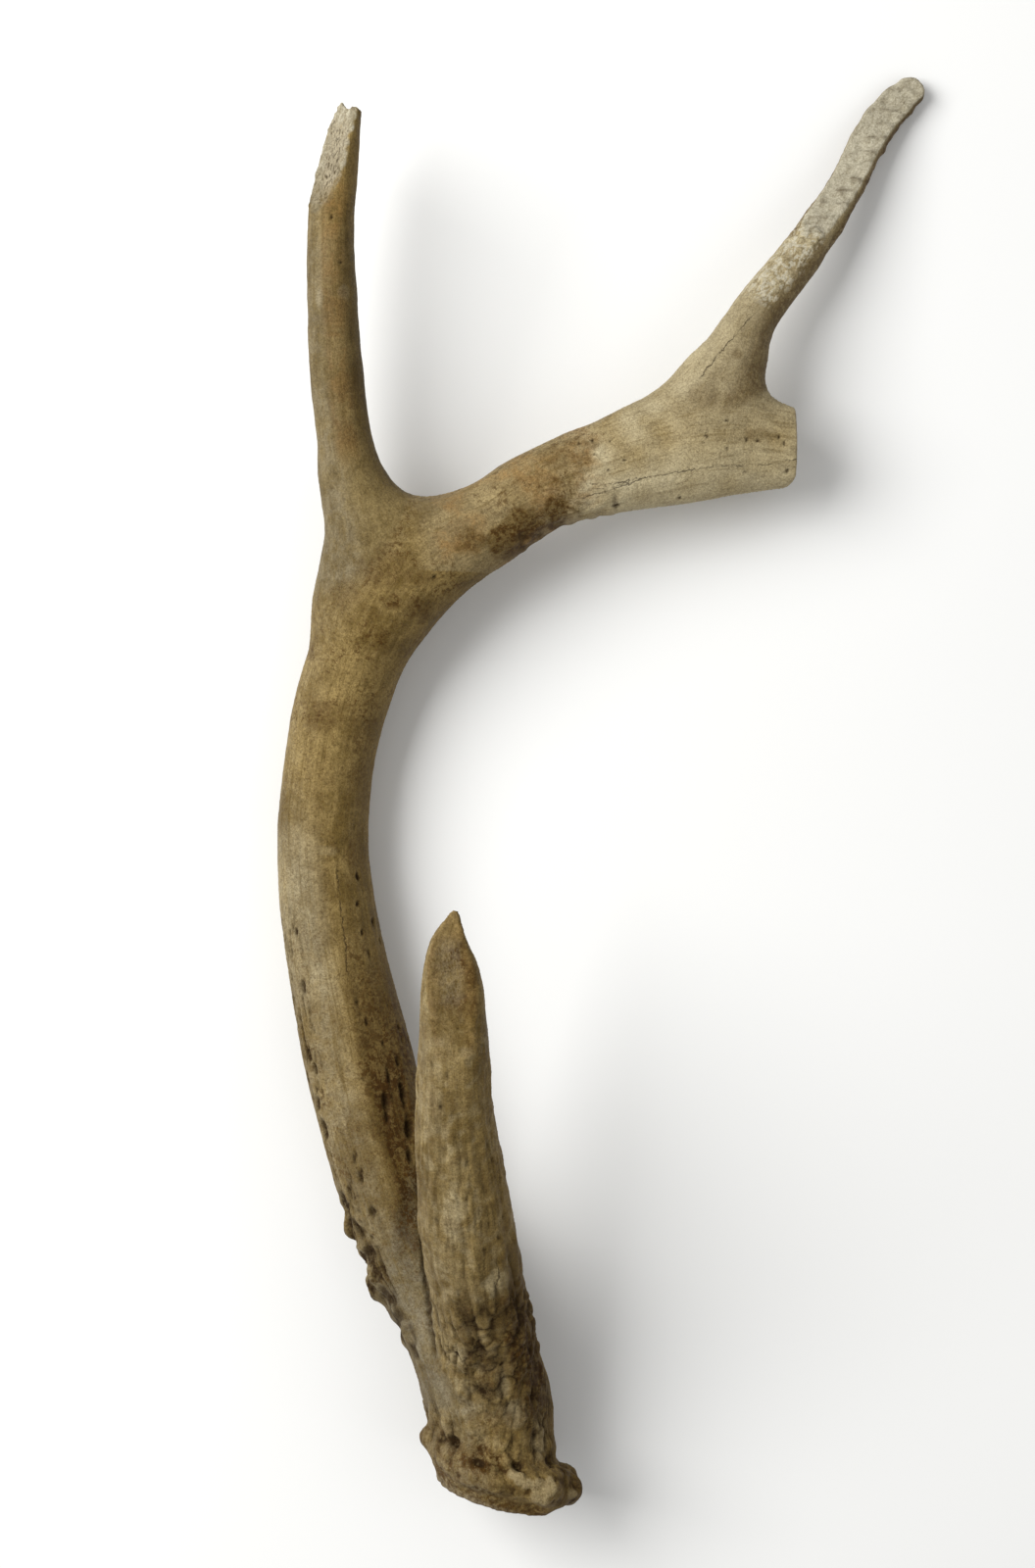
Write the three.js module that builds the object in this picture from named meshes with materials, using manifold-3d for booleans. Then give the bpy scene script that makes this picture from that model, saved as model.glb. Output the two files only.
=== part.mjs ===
// A shed deer antler lying on its outer side: the burr with its seat, a beam that bows round to a
// sawn end, and three tines. Millimetres, +Z up, resting on z = 0, origin under the middle of its box.
// It grew as one bone, so it is made as one solid and then parted at its forks.
import * as THREE from "three";
import { mergeVertices } from "three/addons/utils/BufferGeometryUtils.js";
import Module from "manifold-3d";

// Each limb is a list of stations along its core: x, y, z of the core, then half the width across
// the limb and half its depth.
const BEAM = [
  [-36.3, -214.9, 28, 19.5, 21.5],
  [-38.8, -198.4, 27, 20, 22],
  [-47.3, -175.4, 24, 18.8, 20],
  [-58.8, -153.4, 21.5, 18.8, 18.8],
  [-69.3, -128.4, 19.5, 18.5, 17.8],
  [-77.8, -100.9, 18, 18, 17],
  [-82.8, -80.4, 17, 17.5, 16.4],
  [-88.8, -51.4, 16.2, 16, 15.8],
  [-92.3, -19.4, 15.1, 15, 15.4],
  [-89.3, 12.6, 16.5, 14.7, 15],
  [-82.3, 38.6, 19, 15.5, 15.5],
  [-71.3, 61.6, 22.5, 17, 16],
  [-55.3, 75.1, 25.5, 16.2, 15],
  [-37.3, 84.6, 27.5, 13.8, 13.5],
  [-24.8, 93.1, 28.3, 13.3, 13.2],
  [-11.8, 98.6, 28.7, 14, 13],
  [0.7, 102.3, 28.6, 15.3, 12.6],
  [14.7, 106.6, 28, 17.4, 12.2],
  [28.7, 109.6, 27, 18.6, 11.6],
  [45.2, 110.6, 24.6, 16.6, 11],
  [65.2, 109, 21.6, 12, 10.4],
];
const BROW_TINE = [
  [-35.8, -199.4, 30, 15.8, 16],
  [-37.6, -177.9, 42, 15.5, 15],
  [-41.4, -156.9, 55, 14.8, 14.8],
  [-44.3, -136.4, 66, 14.4, 14.2],
  [-46.3, -116.9, 76, 13.2, 13],
  [-47.5, -94.9, 85.5, 11.6, 12],
  [-47.6, -76.4, 92, 10.4, 10.8],
  [-48.2, -58.4, 97.5, 8.8, 9.2],
  [-48.8, -47.9, 100.5, 6.1, 7],
  [-46.8, -37.9, 102.5, 0.9, 2],
];
const SECOND_TINE = [
  [-75.3, 60.6, 23, 17.2, 13],
  [-77.1, 81.1, 27, 13.9, 12.5],
  [-80.4, 94.1, 29.6, 11.8, 11.2],
  [-82.6, 101.6, 31.4, 10.4, 10],
  [-84.3, 111.6, 33.5, 9, 9],
  [-86, 127.1, 36.5, 8.6, 8.6],
  [-87.3, 147.1, 40, 8.1, 8.2],
  [-87.8, 166.6, 43, 7.7, 7.8],
  [-87.6, 182.1, 45, 7.2, 7.4],
  [-85, 197.1, 46.5, 6.1, 6],
  [-82.9, 207.6, 47.5, 4.8, 5],
  [-81.7, 215.1, 48, 3.2, 4],
];
const THIRD_TINE = [
  [28.7, 114.1, 27, 12.7, 9],
  [34.7, 126.6, 26.3, 13.8, 10],
  [41.5, 137.6, 25, 11.1, 9.5],
  [45.8, 147.3, 23, 8.8, 8.2],
  [51.7, 157.1, 20.8, 7.8, 7.6],
  [64.8, 174.2, 16.4, 7.1, 6.9],
  [78.1, 194.2, 11.5, 6.3, 5.8],
  [87.7, 212.6, 7.2, 6.2, 4.8],
  [96.6, 227, 4, 6, 4.3],
  [105.6, 232, 4.2, 3.2, 3],
];

// The bone web that rounds out the crotch between the beam and the second tine.
const WEB_CENTRE = [-63.4, 82.2, 26];
const WEB_RADII = [10.4, 10.4, 9];

// The burr: a knobbly ring round the foot of the beam, over the seat where the antler came off the
// skull. The profile is radius against height along the burr's own axis, and closes on that axis.
const BURR_CENTRE = [-33.8, -220.4, 27.6];
const BURR_AXIS = [0.34, 0.94, 0];
const RING_FROM = 21; // radius beyond which the knobs show
const BURR_PROFILE = [
  [0, -9.6],
  [13, -9.4],
  [19, -8.4],
  [21, -5.4],
  [22.4, -3],
  [26.4, -2.4],
  [28, -0.2],
  [26.6, 2.6],
  [22, 4],
  [17.5, 8.5],
  [0, 8.5],
];
const KNOB_WAVES = [
  [7, 0.045, 0.4],
  [11, 0.03, 2.1],
]; // count round the ring, height as a share of the radius, phase

// The beam's far end is sawn off square: the face's x, and the middle and size of what is cut away.
const SAWN_X = 61.5;
const OFFCUT = { middle: [SAWN_X + 10, 109.6, 22], size: [20, 50, 50] };

const SAW_KERF = 0.3; // gap left where the limbs are parted

// Where each limb is parted from the rest: the kerf's middle, the limb's direction and the cut's size.
const PARTINGS = [
  { name: "mid_beam", at: [-73.5, -114.6, 18.8], along: [-0.295, 0.955, -0.052], size: 44 },
  { name: "brow_tine", at: [-42.8, -149.4, 59.4], along: [-0.114, 0.858, 0.498], size: 38 },
  { name: "second_tine", at: [-81, 97.6, 30.6], along: [-0.21, 0.955, 0.21], size: 32 },
  { name: "upper_beam", at: [-37.3, 85.1, 27.5], along: [0.875, 0.484, 0.06], size: 34 },
  { name: "third_tine", at: [43.8, 142.6, 24], along: [0.5, 0.84, -0.2], size: 30 },
];

const BONE = { olive: 0x8a7650, tan: 0x9c8761, pale: 0xb3a583 };
const COLOURS = {
  burr_base: BONE.olive,
  mid_beam: BONE.olive,
  brow_tine: BONE.olive,
  second_tine: BONE.tan,
  upper_beam: BONE.tan,
  third_tine: BONE.pale,
};

const AROUND = 18; // sides round a limb
const STEPS_PER_STATION = 3; // rings from one station to the next
const BURR_AROUND = 40; // sides round the burr
const FLOOR_BLOCK = [600, 800, 50];
const PAST_CUT = 50; // how far past its kerf a limb's middle is looked for
const WELD = 1e-3; // vertices closer than this are one

const wasm = await Module();
wasm.setup();

// A three.js geometry, placed by an optional matrix, as a manifold-3d solid.
function solid(geometry, matrix) {
  const bare = geometry.index ? geometry.toNonIndexed() : geometry.clone();
  bare.deleteAttribute("normal");
  bare.deleteAttribute("uv");
  if (matrix) bare.applyMatrix4(matrix);
  const merged = mergeVertices(bare, WELD);
  return new wasm.Manifold(
    new wasm.Mesh({
      numProp: 3,
      vertProperties: merged.attributes.position.array,
      triVerts: new Uint32Array(merged.index.array),
    }),
  );
}

// A manifold-3d solid as a three.js geometry with flat faces.
function geometryOf(body) {
  const { numProp, numVert, vertProperties, triVerts } = body.getMesh();
  const positions = new Float32Array(numVert * 3);
  for (let i = 0; i < numVert; i++)
    positions.set(vertProperties.subarray(i * numProp, i * numProp + 3), i * 3);
  const geometry = new THREE.BufferGeometry()
    .setAttribute("position", new THREE.BufferAttribute(positions, 3))
    .setIndex(new THREE.BufferAttribute(triVerts, 1))
    .toNonIndexed();
  geometry.computeVertexNormals();
  return geometry;
}

// A limb: a capped cylinder bent along the stations' core and swollen to their widths and depths.
function limb(stations) {
  const core = new THREE.CatmullRomCurve3(stations.map(([x, y, z]) => new THREE.Vector3(x, y, z)));
  const girth = new THREE.CatmullRomCurve3(stations.map(([, , , w, d]) => new THREE.Vector3(w, d, 0)));
  const steps = (stations.length - 1) * STEPS_PER_STATION;
  const geometry = new THREE.CylinderGeometry(1, 1, 1, AROUND, steps).toNonIndexed();
  const position = geometry.getAttribute("position");
  const up = new THREE.Vector3(0, 0, 1);
  for (let i = 0; i < position.count; i++) {
    const t = position.getY(i) + 0.5;
    const tangent = core.getTangent(t);
    const side = new THREE.Vector3().crossVectors(tangent, up).normalize();
    const above = new THREE.Vector3().crossVectors(side, tangent);
    const { x: halfWidth, y: halfDepth } = girth.getPoint(t);
    const point = core
      .getPoint(t)
      .addScaledVector(side, position.getX(i) * halfWidth)
      .addScaledVector(above, position.getZ(i) * halfDepth);
    position.setXYZ(i, point.x, point.y, point.z);
  }
  return solid(geometry);
}

// The seat and the knobbly ring, turned on the burr's axis.
function burr() {
  const profile = BURR_PROFILE.map(([r, h]) => new THREE.Vector2(r, h));
  const geometry = new THREE.LatheGeometry(profile, BURR_AROUND);
  const position = geometry.getAttribute("position");
  for (let i = 0; i < position.count; i++) {
    const [x, y, z] = [position.getX(i), position.getY(i), position.getZ(i)];
    if (Math.hypot(x, z) < RING_FROM) continue;
    const angle = Math.atan2(z, x);
    const swell = KNOB_WAVES.reduce((sum, [n, share, phase]) => sum + share * Math.sin(n * angle + phase), 1);
    position.setXYZ(i, x * swell, y, z * swell);
  }
  const turn = new THREE.Quaternion().setFromUnitVectors(
    new THREE.Vector3(0, 1, 0),
    new THREE.Vector3(...BURR_AXIS).normalize(),
  );
  return solid(
    geometry,
    new THREE.Matrix4().compose(new THREE.Vector3(...BURR_CENTRE), turn, new THREE.Vector3(1, 1, 1)),
  );
}

function web() {
  const place = new THREE.Matrix4().makeTranslation(...WEB_CENTRE).scale(new THREE.Vector3(...WEB_RADII));
  return solid(new THREE.SphereGeometry(1, 18, 12), place);
}

// The thin slab that a saw would take out across a limb.
function kerf({ at, along, size }) {
  const turn = new THREE.Quaternion().setFromUnitVectors(
    new THREE.Vector3(0, 0, 1),
    new THREE.Vector3(...along).normalize(),
  );
  return solid(
    new THREE.BoxGeometry(size, size, SAW_KERF),
    new THREE.Matrix4().compose(new THREE.Vector3(...at), turn, new THREE.Vector3(1, 1, 1)),
  );
}

function block(size, middle) {
  return solid(new THREE.BoxGeometry(...size), new THREE.Matrix4().makeTranslation(...middle));
}

// Everything below z = 0, which leaves the small flats that the antler rests on.
function floorBlock() {
  const [, , depth] = FLOOR_BLOCK;
  return block(FLOOR_BLOCK, [0, 0, -depth / 2]);
}

function middleOf(body) {
  const { min, max } = body.boundingBox();
  return new THREE.Vector3(...min).add(new THREE.Vector3(...max)).multiplyScalar(0.5);
}

// One antler, parted at its forks. The body nearest a little way past a kerf is that limb; what is
// left is the burr with the base of the beam.
function partedAntler() {
  let whole = [BEAM, BROW_TINE, SECOND_TINE, THIRD_TINE]
    .map((stations) => limb(stations))
    .concat(burr(), web())
    .reduce((sum, body) => sum.add(body))
    .subtract(floorBlock())
    .subtract(block(OFFCUT.size, OFFCUT.middle));
  for (const parting of PARTINGS) whole = whole.subtract(kerf(parting));
  const bodies = whole.decompose();
  const named = {};
  for (const { name, at, along } of PARTINGS) {
    const beyond = new THREE.Vector3(...at).addScaledVector(new THREE.Vector3(...along), PAST_CUT);
    const distance = (body) => middleOf(body).distanceTo(beyond);
    const nearest = bodies.reduce((best, body) => (distance(body) < distance(best) ? body : best));
    named[name] = nearest;
    bodies.splice(bodies.indexOf(nearest), 1);
  }
  [named.burr_base] = bodies;
  return named;
}

const antler = new THREE.Group();
for (const [name, body] of Object.entries(partedAntler())) {
  const material = new THREE.MeshStandardMaterial({ color: COLOURS[name], roughness: 0.75, metalness: 0 });
  const mesh = new THREE.Mesh(geometryOf(body), material);
  mesh.name = name;
  antler.add(mesh);
}

export default antler;
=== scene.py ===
import math
import random

import bmesh
import bpy
import numpy as np
from bpy.props import FloatProperty, FloatVectorProperty, PointerProperty
from mathutils import Matrix, Vector, noise


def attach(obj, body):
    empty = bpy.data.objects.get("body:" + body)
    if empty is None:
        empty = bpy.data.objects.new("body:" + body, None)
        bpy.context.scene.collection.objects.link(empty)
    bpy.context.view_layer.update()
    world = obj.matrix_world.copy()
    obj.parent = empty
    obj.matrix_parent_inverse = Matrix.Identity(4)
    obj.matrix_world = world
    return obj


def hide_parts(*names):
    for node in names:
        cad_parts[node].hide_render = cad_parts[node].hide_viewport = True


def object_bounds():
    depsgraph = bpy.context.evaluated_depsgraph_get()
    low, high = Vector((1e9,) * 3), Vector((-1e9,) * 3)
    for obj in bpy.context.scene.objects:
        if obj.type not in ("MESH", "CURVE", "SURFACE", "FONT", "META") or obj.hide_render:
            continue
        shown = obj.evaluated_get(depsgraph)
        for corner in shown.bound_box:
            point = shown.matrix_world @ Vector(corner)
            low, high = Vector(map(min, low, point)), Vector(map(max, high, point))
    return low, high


bl_info = {
    "name": "Deer Antler",
    "version": (1, 0, 0),
    "blender": (4, 5, 0),
    "location": "3D View > Sidebar > Antler",
    "description": "Grows a shed deer antler with a knobbly burr, worn tines and a sawn beam",
    "category": "Object",
}

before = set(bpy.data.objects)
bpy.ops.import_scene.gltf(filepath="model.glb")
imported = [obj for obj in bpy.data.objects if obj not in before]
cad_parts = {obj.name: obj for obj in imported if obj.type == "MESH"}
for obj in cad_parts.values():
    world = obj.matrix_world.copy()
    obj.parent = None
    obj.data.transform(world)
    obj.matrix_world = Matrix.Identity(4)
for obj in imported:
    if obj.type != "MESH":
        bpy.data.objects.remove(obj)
CAD_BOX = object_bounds()

MM = 0.001  # the bone is shaped in millimetres and finished in metres
BODY = "root"
WHOLE = "whole_bone"
FINISH = "weathered_antler"

# Each limb is a list of stations along its core: x, y, z, half the width and half the depth, in mm.
BEAM = [
    (-36.3, -214.9, 28, 19.5, 21.5),
    (-38.8, -198.4, 27, 20, 22),
    (-47.3, -175.4, 24, 18.8, 20),
    (-58.8, -153.4, 21.5, 18.8, 18.8),
    (-69.3, -128.4, 19.5, 18.5, 17.8),
    (-77.8, -100.9, 18, 18, 17),
    (-82.8, -80.4, 17, 17.5, 16.4),
    (-88.8, -51.4, 16.2, 16, 15.8),
    (-92.3, -19.4, 15.1, 15, 15.4),
    (-89.3, 12.6, 16.5, 14.7, 15),
    (-82.3, 38.6, 19, 15.5, 15.5),
    (-71.3, 61.6, 22.5, 17, 16),
    (-55.3, 75.1, 25.5, 16.2, 15),
    (-37.3, 84.6, 27.5, 13.8, 13.5),
    (-24.8, 93.1, 28.3, 13.3, 13.2),
    (-11.8, 98.6, 28.7, 14, 13),
    (0.7, 102.3, 28.6, 15.3, 12.6),
    (14.7, 106.6, 28, 17.4, 12.2),
    (28.7, 109.6, 27, 18.2, 11.6),
    (45.2, 110.6, 24.6, 16.2, 11),
    (65.2, 109, 21.6, 12, 10.4),
]
BROW_TINE = [
    (-35.8, -199.4, 30, 15.8, 16),
    (-37.6, -177.9, 42, 15.5, 15),
    (-41.4, -156.9, 55, 14.8, 14.8),
    (-44.3, -136.4, 66, 14.4, 14.2),
    (-46.3, -116.9, 76, 13.2, 13),
    (-47.5, -94.9, 85.5, 11.6, 12),
    (-47.6, -76.4, 92, 10.4, 10.8),
    (-48.2, -58.4, 97.5, 8.8, 9.2),
    (-48.8, -47.9, 100.5, 6.1, 7),
    (-46.8, -37.9, 102.5, 0.9, 2),
]
SECOND_TINE = [
    (-75.3, 62.6, 23, 15.5, 13),
    (-77.1, 81.1, 27, 13.4, 12.5),
    (-80.4, 94.1, 29.6, 11.8, 11.2),
    (-82.6, 101.6, 31.4, 10.4, 10),
    (-84.3, 111.6, 33.5, 9, 9),
    (-86, 127.1, 36.5, 8.6, 8.6),
    (-87.3, 147.1, 40, 8.1, 8.2),
    (-87.8, 166.6, 43, 7.7, 7.8),
    (-87.4, 182.1, 45, 7.4, 7.5),
    (-85.9, 197.1, 46.5, 7, 7.1),
    (-84.8, 207.6, 47.3, 6.4, 6.4),
    (-84.0, 216.2, 47.9, 5.9, 5.9),
]
THIRD_TINE = [
    (28.7, 114.1, 27, 12.7, 9),
    (34.7, 126.6, 26.3, 13.4, 10),
    (41.5, 137.6, 25, 11.1, 9.5),
    (45.8, 147.3, 23, 8.8, 8.2),
    (51.7, 157.1, 20.8, 7.8, 7.6),
    (64.8, 174.2, 16.4, 7.1, 6.9),
    (78.1, 194.2, 11.5, 6.3, 6.2),
    (87.7, 212.6, 7.6, 6.3, 5.6),
    (95.0, 223.2, 5.0, 6.2, 4.9),
    (102.0, 230.4, 4.6, 5.5, 4.4),
]

# How wide the fillet is where each tine, the burr and its knobs leave the beam, in mm.
BROW_FILLET = 6
SECOND_FILLET = 17
THIRD_FILLET = 11
BURR_FILLET = 6
RING_FILLET = 2.6
KNOB_FILLET = 3.2

# The burr: its middle, the way it faces, and the seat below it that left the skull.
BURR_CENTRE = np.array([-33.8, -220.4, 27.6])
BURR_AXIS = np.array([0.34, 0.94, 0.0]) / math.hypot(0.34, 0.94)
BURR_RIGHT = np.array([0.94, -0.34, 0.0]) / math.hypot(0.34, 0.94)
RING_RADIUS = 22.4
RING_THICKNESS = 3.0
RING_KNOBS = 17
KNOB_SEED = 11
KNOB_SHIFT = 0.3  # of the space between two knobs
KNOB_RADII = (2.6, 4.4)
KNOB_OUT = (0.6, 2.4)
KNOB_ALONG = (-1.6, 1.2)
HIGHEST_KNOB = 20  # mm over the floor, above which the knobs are listed in KNOBS
SEAT_RADIUS = 20.2
SEAT_TAPER = 0.25
SEAT_DEPTH = 10.6
SEAT_TILT = 0.03

# Knobs given one by one: x, y, z and radius in mm.
KNOBS = [
    (-57.2, -210.6, 30, 3.0),
    (-12.6, -226.0, 34, 4.6),
    (-13.6, -225.0, 26, 4.4),
    (-16.8, -222.4, 38, 4.2),
    (-19.8, -229.6, 39, 3.6),
    (-21.6, -213.2, 33, 5.0),
    (-50.4, -223.4, 30, 2.4),
    (-50.2, -223.6, 24, 2.4),
    (-27.4, -218.4, 48.2, 3.0),
    (-23.2, -220.2, 47.4, 2.4),
    (-18.6, -222.6, 44.4, 3.9),
    (-47.2, -212.6, 43.4, 2.6),
    (-40.2, -215.4, 47.0, 2.4),
    (-80.4, -143.6, 20, 4.2),
    (-73.4, -162.8, 22, 5.0),
]

# A tip broken or gnawed flat: the way the break faces, to the side and above, then mm from the
# tip against mm from the core.
BROW_BREAK = (
    (0.06, 0.998),
    [(0, 0.4), (8, 2.6), (20, 5.2), (34, 8.2), (41, 9.4), (44, 14), (300, 40)],
)
SECOND_BREAK = (
    (-0.75, 0.661),
    [(0, -1.6), (2, -1.3), (7, -0.2), (13, 0.9), (19, 2.2)]
    + [(26, 3.6), (31, 4.9), (36, 8), (42, 16), (300, 40)],
)
THIRD_BREAK = (
    (-0.3, 0.954),
    [(0, 1.2), (8, 1.8), (20, 2.5), (45, 3.5), (60, 4.8), (66, 8), (74, 20), (300, 40)],
)

# The second tine's jagged end: mm to the side against mm missing from its tip.
SECOND_END = [
    (-8, 14),
    (-4.5, 8.6),
    (-2.2, 4.6),
    (-1.2, 1.6),
    (-0.5, 0.2),
    (0.2, 0.6),
    (1, 2),
    (1.8, 2.9),
    (3, 2.4),
    (7, 2.8),
]

# Flat cuts at the sawn end and under the burr: a point on each, the way it faces, how wide its
# rounded edge is and how far from the point it reaches.
SAWN_X = 61.5
CUTS = [
    ((SAWN_X, 109.6, 22), (1, 0, 0), 0.4, 25),
    ((60.6, 98.0, 22), (0.69, -0.72, 0), 1.0, 25),
    ((-35.6, -229.8, 30), (-0.269, -0.963, 0), 0.6, 40),
]

RING_SIDES = 24
DRUM_SIDES = 48
SAMPLES_PER_SPAN = 16
SAMPLES_PER_RING = 4
POINTS_AT_ONCE = 20000
ROUND_END = 0.7  # how far a rounded end reaches and how wide it stays, against the limb

# How points move on to the form, in mm: the nudge that a slope is measured over, the longest
# move in one round, and the gentlest slope that is trusted.
NUDGE = 0.05
LONGEST_MOVE = 2
GENTLEST_SLOPE = 0.3

BREAK_EDGE = 1.0  # mm, the rounded edge of a broken tip
END_EDGE = 0.6  # mm, the rounded edge of the second tine's jagged end
REST_EDGE = 0.5  # mm, the rounded edge where the bone rests on the floor


# ---------------------------------------------------------------- the form


class Limb:
    """A limb's core as close samples, each with its own frame: onward, to the side and above."""

    def __init__(self, stations):
        rows = np.array(stations, float)
        rows = np.vstack([2 * rows[0] - rows[1], rows, 2 * rows[-1] - rows[-2]])
        t = np.linspace(0, 1, SAMPLES_PER_SPAN, endpoint=False)[:, None]
        spans = []
        for a, b, c, d in zip(rows, rows[1:], rows[2:], rows[3:]):
            bend = (c - a) * t + (2 * a - 5 * b + 4 * c - d) * t**2 + (3 * b - a - 3 * c + d) * t**3
            spans.append(b + bend / 2)
        drawn = np.vstack(spans + [rows[-2:-1]])
        self.core = drawn[:, :3]
        self.half_width = drawn[:, 3]
        self.half_depth = drawn[:, 4]
        onward = np.gradient(self.core, axis=0)
        self.onward = onward / np.linalg.norm(onward, axis=1)[:, None]
        side = np.cross(self.onward, (0, 0, 1))
        self.side = side / np.linalg.norm(side, axis=1)[:, None]
        self.above = np.cross(self.side, self.onward)
        steps = np.linalg.norm(np.diff(self.core, axis=0), axis=1)
        self.along = np.concatenate([[0], np.cumsum(steps)])
        self.length = self.along[-1]

    def place(self, index):
        """The matrix that lays a ring of radius 1 on the core at that sample."""
        place = Matrix.Identity(4)
        place.col[0] = (*(self.side[index] * self.half_width[index]), 0)
        place.col[1] = (*(self.above[index] * self.half_depth[index]), 0)
        place.col[2] = (*self.onward[index], 0)
        place.col[3] = (*self.core[index], 1)
        return place

    def measure(self, points):
        """Where points lie against the limb: gap to its surface, and places along and across it."""
        size = (self.core**2).sum(1)
        index = np.empty(len(points), int)
        for start in range(0, len(points), POINTS_AT_ONCE):
            some = points[start : start + POINTS_AT_ONCE]
            index[start : start + POINTS_AT_ONCE] = (size - 2 * some @ self.core.T).argmin(1)
        away = points - self.core[index]
        onward = (away * self.onward[index]).sum(1)
        side = (away * self.side[index]).sum(1)
        above = (away * self.above[index]).sum(1)
        before_start = (index == 0) & (onward < 0)
        past_end = (index == len(self.core) - 1) & (onward > 0)
        beyond = np.where(before_start | past_end, onward, 0)
        width, depth = self.half_width[index], self.half_depth[index]
        across, high = side / width, above / depth
        share = np.sqrt(across**2 + high**2 + (beyond / np.minimum(width, depth)) ** 2) + 1e-9
        reach = np.sqrt(side**2 + above**2 + beyond**2)
        return {
            "gap": reach * (1 - 1 / share),
            "side": side,
            "above": above,
            "across": across,
            "high": high,
            "along": self.along[index] + onward,
            "from_tip": self.length - self.along[index] - onward,
        }


LIMBS = [Limb(stations) for stations in (BEAM, BROW_TINE, SECOND_TINE, THIRD_TINE)]
ROUND_ENDED = (LIMBS[1], LIMBS[3])


def join(a, b, width):
    """The nearer of two surfaces, with a fillet about that wide where they meet."""
    overlap = np.maximum(width - np.abs(a - b), 0) / width
    return np.minimum(a, b) - overlap**2 * width / 4


def cut(a, b, width):
    """What two surfaces both hold, with an edge rounded about that wide."""
    return -join(-a, -b, width)


def capped(value):
    """A share kept between 0 and 1."""
    return np.clip(value, 0, 1)


def fade(value, low, high):
    """0 up to low, 1 from high on, and smooth between; low may be the larger."""
    t = capped((value - low) / (high - low))
    return t * t * (3 - 2 * t)


def band(value, low, high, soft):
    """1 between low and high, fading to 0 over that many mm on each side."""
    return fade(value, low - soft, low) * fade(value, high + soft, high)


def on_line(value, line):
    """The second number of a list of pairs, where the first is that value."""
    return np.interp(value, *zip(*line))


def past_break(reach, tip_break):
    """How far points lie beyond the break at a limb's tip, in mm."""
    (side, above), line = tip_break
    return reach["side"] * side + reach["above"] * above - on_line(reach["from_tip"], line)


def broken(reach, tip_break):
    """A limb's surface with one side of its tip broken off."""
    return cut(reach["gap"], past_break(reach, tip_break), BREAK_EDGE)


def ring_knobs():
    """The burr's knobs round its ring: their middles and radii."""
    draw = random.Random(KNOB_SEED)
    knobs = []
    for i in range(RING_KNOBS):
        turn = math.tau * (i + draw.uniform(-KNOB_SHIFT, KNOB_SHIFT)) / RING_KNOBS
        radius = draw.uniform(*KNOB_RADII)
        out = RING_RADIUS + draw.uniform(*KNOB_OUT) + 1.2 * abs(math.cos(turn)) - radius * 0.3
        upward = np.array([0, 0, out * math.sin(turn)])
        middle = BURR_CENTRE + BURR_RIGHT * out * math.cos(turn) + upward
        if middle[2] < HIGHEST_KNOB:
            knobs.append((*(middle + BURR_AXIS * draw.uniform(*KNOB_ALONG)), radius))
    return knobs


ALL_KNOBS = KNOBS + ring_knobs()


def burr(points):
    """The gap to the ring and the seat of the burr."""
    away = points - BURR_CENTRE
    height = away @ BURR_AXIS
    right, up = away @ BURR_RIGHT, away[:, 2]
    out = np.hypot(right, up)
    turn = np.arctan2(up, right)
    wave = 0.9 * np.sin(3 * turn + 0.6) + 0.6 * np.sin(7 * turn + 2.0)
    thick = RING_THICKNESS + 0.4 * wave - 1.6 * fade(right, -12, -20)
    ring = np.hypot(out - RING_RADIUS - 0.5 * wave, (height + 0.4) * 0.9) - thick
    lean = np.clip(-height - 3, 0, 9) * SEAT_TAPER * 1.2
    taper = np.clip(-height - 2, 0, 12) * SEAT_TAPER
    wall = np.hypot(right - lean, up) - SEAT_RADIUS + taper - 0.3 * wave
    floor = -height - SEAT_DEPTH + SEAT_TILT * right + 0.0004 * out**2 - 0.15 * wave
    seat = cut(cut(wall, floor, 0.8), height - 6, 2)
    return join(seat, ring, RING_FILLET)


def form(points):
    """The gap from points to the bone's surface before its fine wear, and the limbs' measures."""
    beam, brow, second, third = reaches = [limb.measure(points) for limb in LIMBS]
    surface = join(beam["gap"], broken(brow, BROW_BREAK), BROW_FILLET)
    missing = on_line(second["side"], SECOND_END)
    stub = cut(broken(second, SECOND_BREAK), missing - second["from_tip"], END_EDGE)
    surface = join(surface, stub, SECOND_FILLET)
    surface = join(surface, broken(third, THIRD_BREAK), THIRD_FILLET)
    surface = join(surface, burr(points), BURR_FILLET)
    for x, y, z, radius in ALL_KNOBS:
        surface = join(surface, np.linalg.norm(points - (x, y, z), axis=1) - radius, KNOB_FILLET)
    for point, facing, edge, reach in CUTS:
        away = points - point
        sawn = cut(surface, away @ np.array(facing, float), edge)
        surface = np.where(np.linalg.norm(away, axis=1) < reach, sawn, surface)
    return cut(surface, -points[:, 2], REST_EDGE), reaches


def to_form(points, rounds):
    """Moves points on to the form's surface, down its slope."""
    for _ in range(rounds):
        gap = form(points)[0]
        slope = np.empty_like(points)
        for axis in range(3):
            nudge = np.zeros(3)
            nudge[axis] = NUDGE
            slope[:, axis] = (form(points + nudge)[0] - gap) / NUDGE
        steep = np.maximum((slope**2).sum(1), GENTLEST_SLOPE)
        points = points - slope * (np.clip(gap, -LONGEST_MOVE, LONGEST_MOVE) / steep)[:, None]
    return points


# ---------------------------------------------------------------- the fine wear


def rough(points, size, seed):
    """Smooth noise from -1 to 1 with features about size mm."""
    shifted = points / size + (seed * 7.31, seed * 3.17, seed * 5.93)
    return np.array([noise.noise(p) for p in shifted.tolist()])


# Scrambles a cell's middle into a number of its own.
SCRAMBLE = (12.9898, 78.233, 37.719)
SCRAMBLE_SCALE = 43758.5453
BARELY = 0.001  # the least share that counts


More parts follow.
